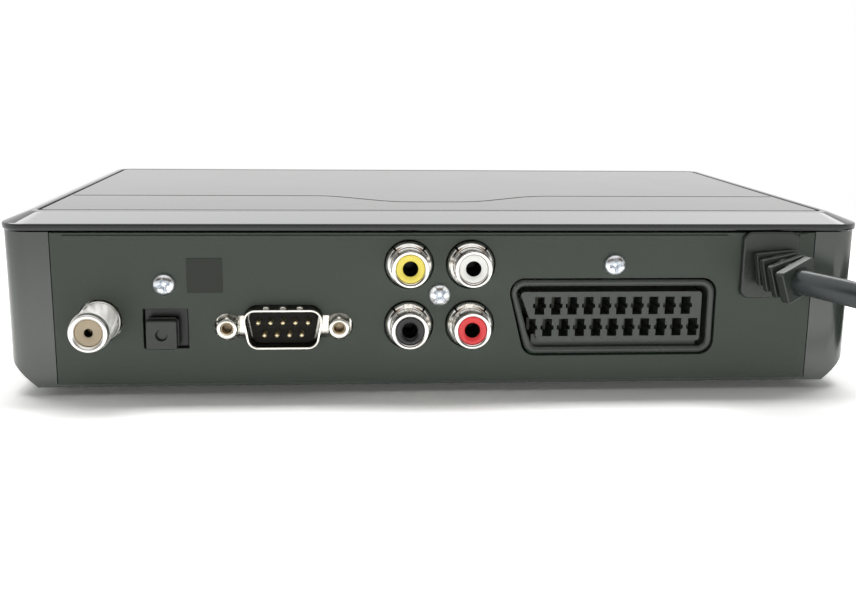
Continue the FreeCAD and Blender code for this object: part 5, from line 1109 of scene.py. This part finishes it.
def makeFloor():
    side = stageSizes["floor"]
    mesh = bpy.data.meshes.new("floor")
    mesh.from_pydata([(-side, -side, -0.0001), (side, -side, -0.0001), (side, side, -0.0001),
                      (-side, side, -0.0001)], [],
                     [(0, 1, 2, 3)])
    floor = bpy.data.objects.new("floor", mesh)
    bpy.context.scene.collection.objects.link(floor)
    finish, tree, shader = startFinish("floorPaper")
    shader.inputs["Roughness"].default_value = 0.8
    shader.inputs["Specular IOR Level"].default_value = 0.0
    coords = tree.nodes.new("ShaderNodeTexCoord")
    length = tree.nodes.new("ShaderNodeVectorMath")
    length.operation = "LENGTH"
    tree.links.new(coords.outputs["Object"], length.inputs[0])
    path, seen = seenRays(tree)
    paper = tree.nodes.new("ShaderNodeMix")
    paper.data_type = "RGBA"
    paper.clamp_result = False
    paper.inputs["A"].default_value = stageSizes["paper"]
    paper.inputs["B"].default_value = stageSizes["paperSeen"]
    tree.links.new(seen, paper.inputs["Factor"])
    tree.links.new(paper.outputs["Result"], shader.inputs["Base Color"])
    far = mathNode(tree, "MULTIPLY", rampNode(tree, length.outputs["Value"], stageSizes["whiteFrom"],
                                              stageSizes["whiteTo"]), seen)
    glow = tree.nodes.new("ShaderNodeEmission")
    blend = tree.nodes.new("ShaderNodeMixShader")
    tree.links.new(far, blend.inputs["Fac"])
    tree.links.new(shader.outputs["BSDF"], blend.inputs[1])
    tree.links.new(glow.outputs["Emission"], blend.inputs[2])
    tree.links.new(blend.outputs["Shader"], tree.nodes["Material Output"].inputs["Surface"])
    mesh.materials.append(finish)


def makeSurroundings():
    # white all round; metal and gloss mirror a dim room at the rear of the box
    world = bpy.data.worlds.new("studio")
    bpy.context.scene.world = world
    world.use_nodes = True
    tree = world.node_tree
    path, seen = seenRays(tree)
    coords = tree.nodes.new("ShaderNodeTexCoord")
    parts = tree.nodes.new("ShaderNodeSeparateXYZ")
    tree.links.new(coords.outputs["Generated"], parts.inputs["Vector"])
    room = tree.nodes.new("ShaderNodeValToRGB")
    stops = room.color_ramp.elements
    for k, (height, shade) in enumerate(roomStops):
        stop = stops[k] if k < 2 else stops.new(height)
        stop.position = height
        stop.color = shade
    tree.links.new(parts.outputs["Z"], room.inputs["Fac"])
    inFront = rampNode(tree, parts.outputs["Y"], 0.05, 0.30)
    mirrored = tree.nodes.new("ShaderNodeMix")
    mirrored.data_type = "RGBA"
    mirrored.inputs["A"].default_value = (1, 1, 1, 1)
    tree.links.new(room.outputs["Color"], mirrored.inputs["B"])
    tree.links.new(mathNode(tree, "MULTIPLY", inFront, path.outputs["Is Glossy Ray"]),
                   mirrored.inputs["Factor"])
    background = tree.nodes["Background"]
    tree.links.new(mirrored.outputs["Result"], background.inputs["Color"])
    behind, front = stageSizes["skyBehind"], stageSizes["skyInFront"]
    sky = mathNode(tree, "ADD", mathNode(tree, "MULTIPLY", rampNode(tree, parts.outputs["Y"], -0.10, 0.35),
                                         front - behind),
                   behind)
    lit = mathNode(tree, "ADD", mathNode(tree, "MULTIPLY", sky, mathNode(tree, "SUBTRACT", 1.0, seen)), seen)
    tree.links.new(lit, background.inputs["Strength"])


def addLamp(name, place, target, size, power, mirrored=True):
    lamp = bpy.data.lights.new(name, "AREA")
    lamp.shape = "RECTANGLE"
    lamp.size, lamp.size_y = size
    lamp.energy = power
    thing = bpy.data.objects.new(name, lamp)
    thing.location = place
    thing.rotation_euler = (Vector(target) - Vector(place)).to_track_quat("-Z", "Y").to_euler()
    thing.visible_glossy = mirrored
    bpy.context.scene.collection.objects.link(thing)


makeFloor()
makeSurroundings()
for name, values in lamps.items():
    addLamp(name, **values)
bpy.context.scene.view_settings.view_transform = "Standard"
print("stage made")

bpy.context.view_layer.update()
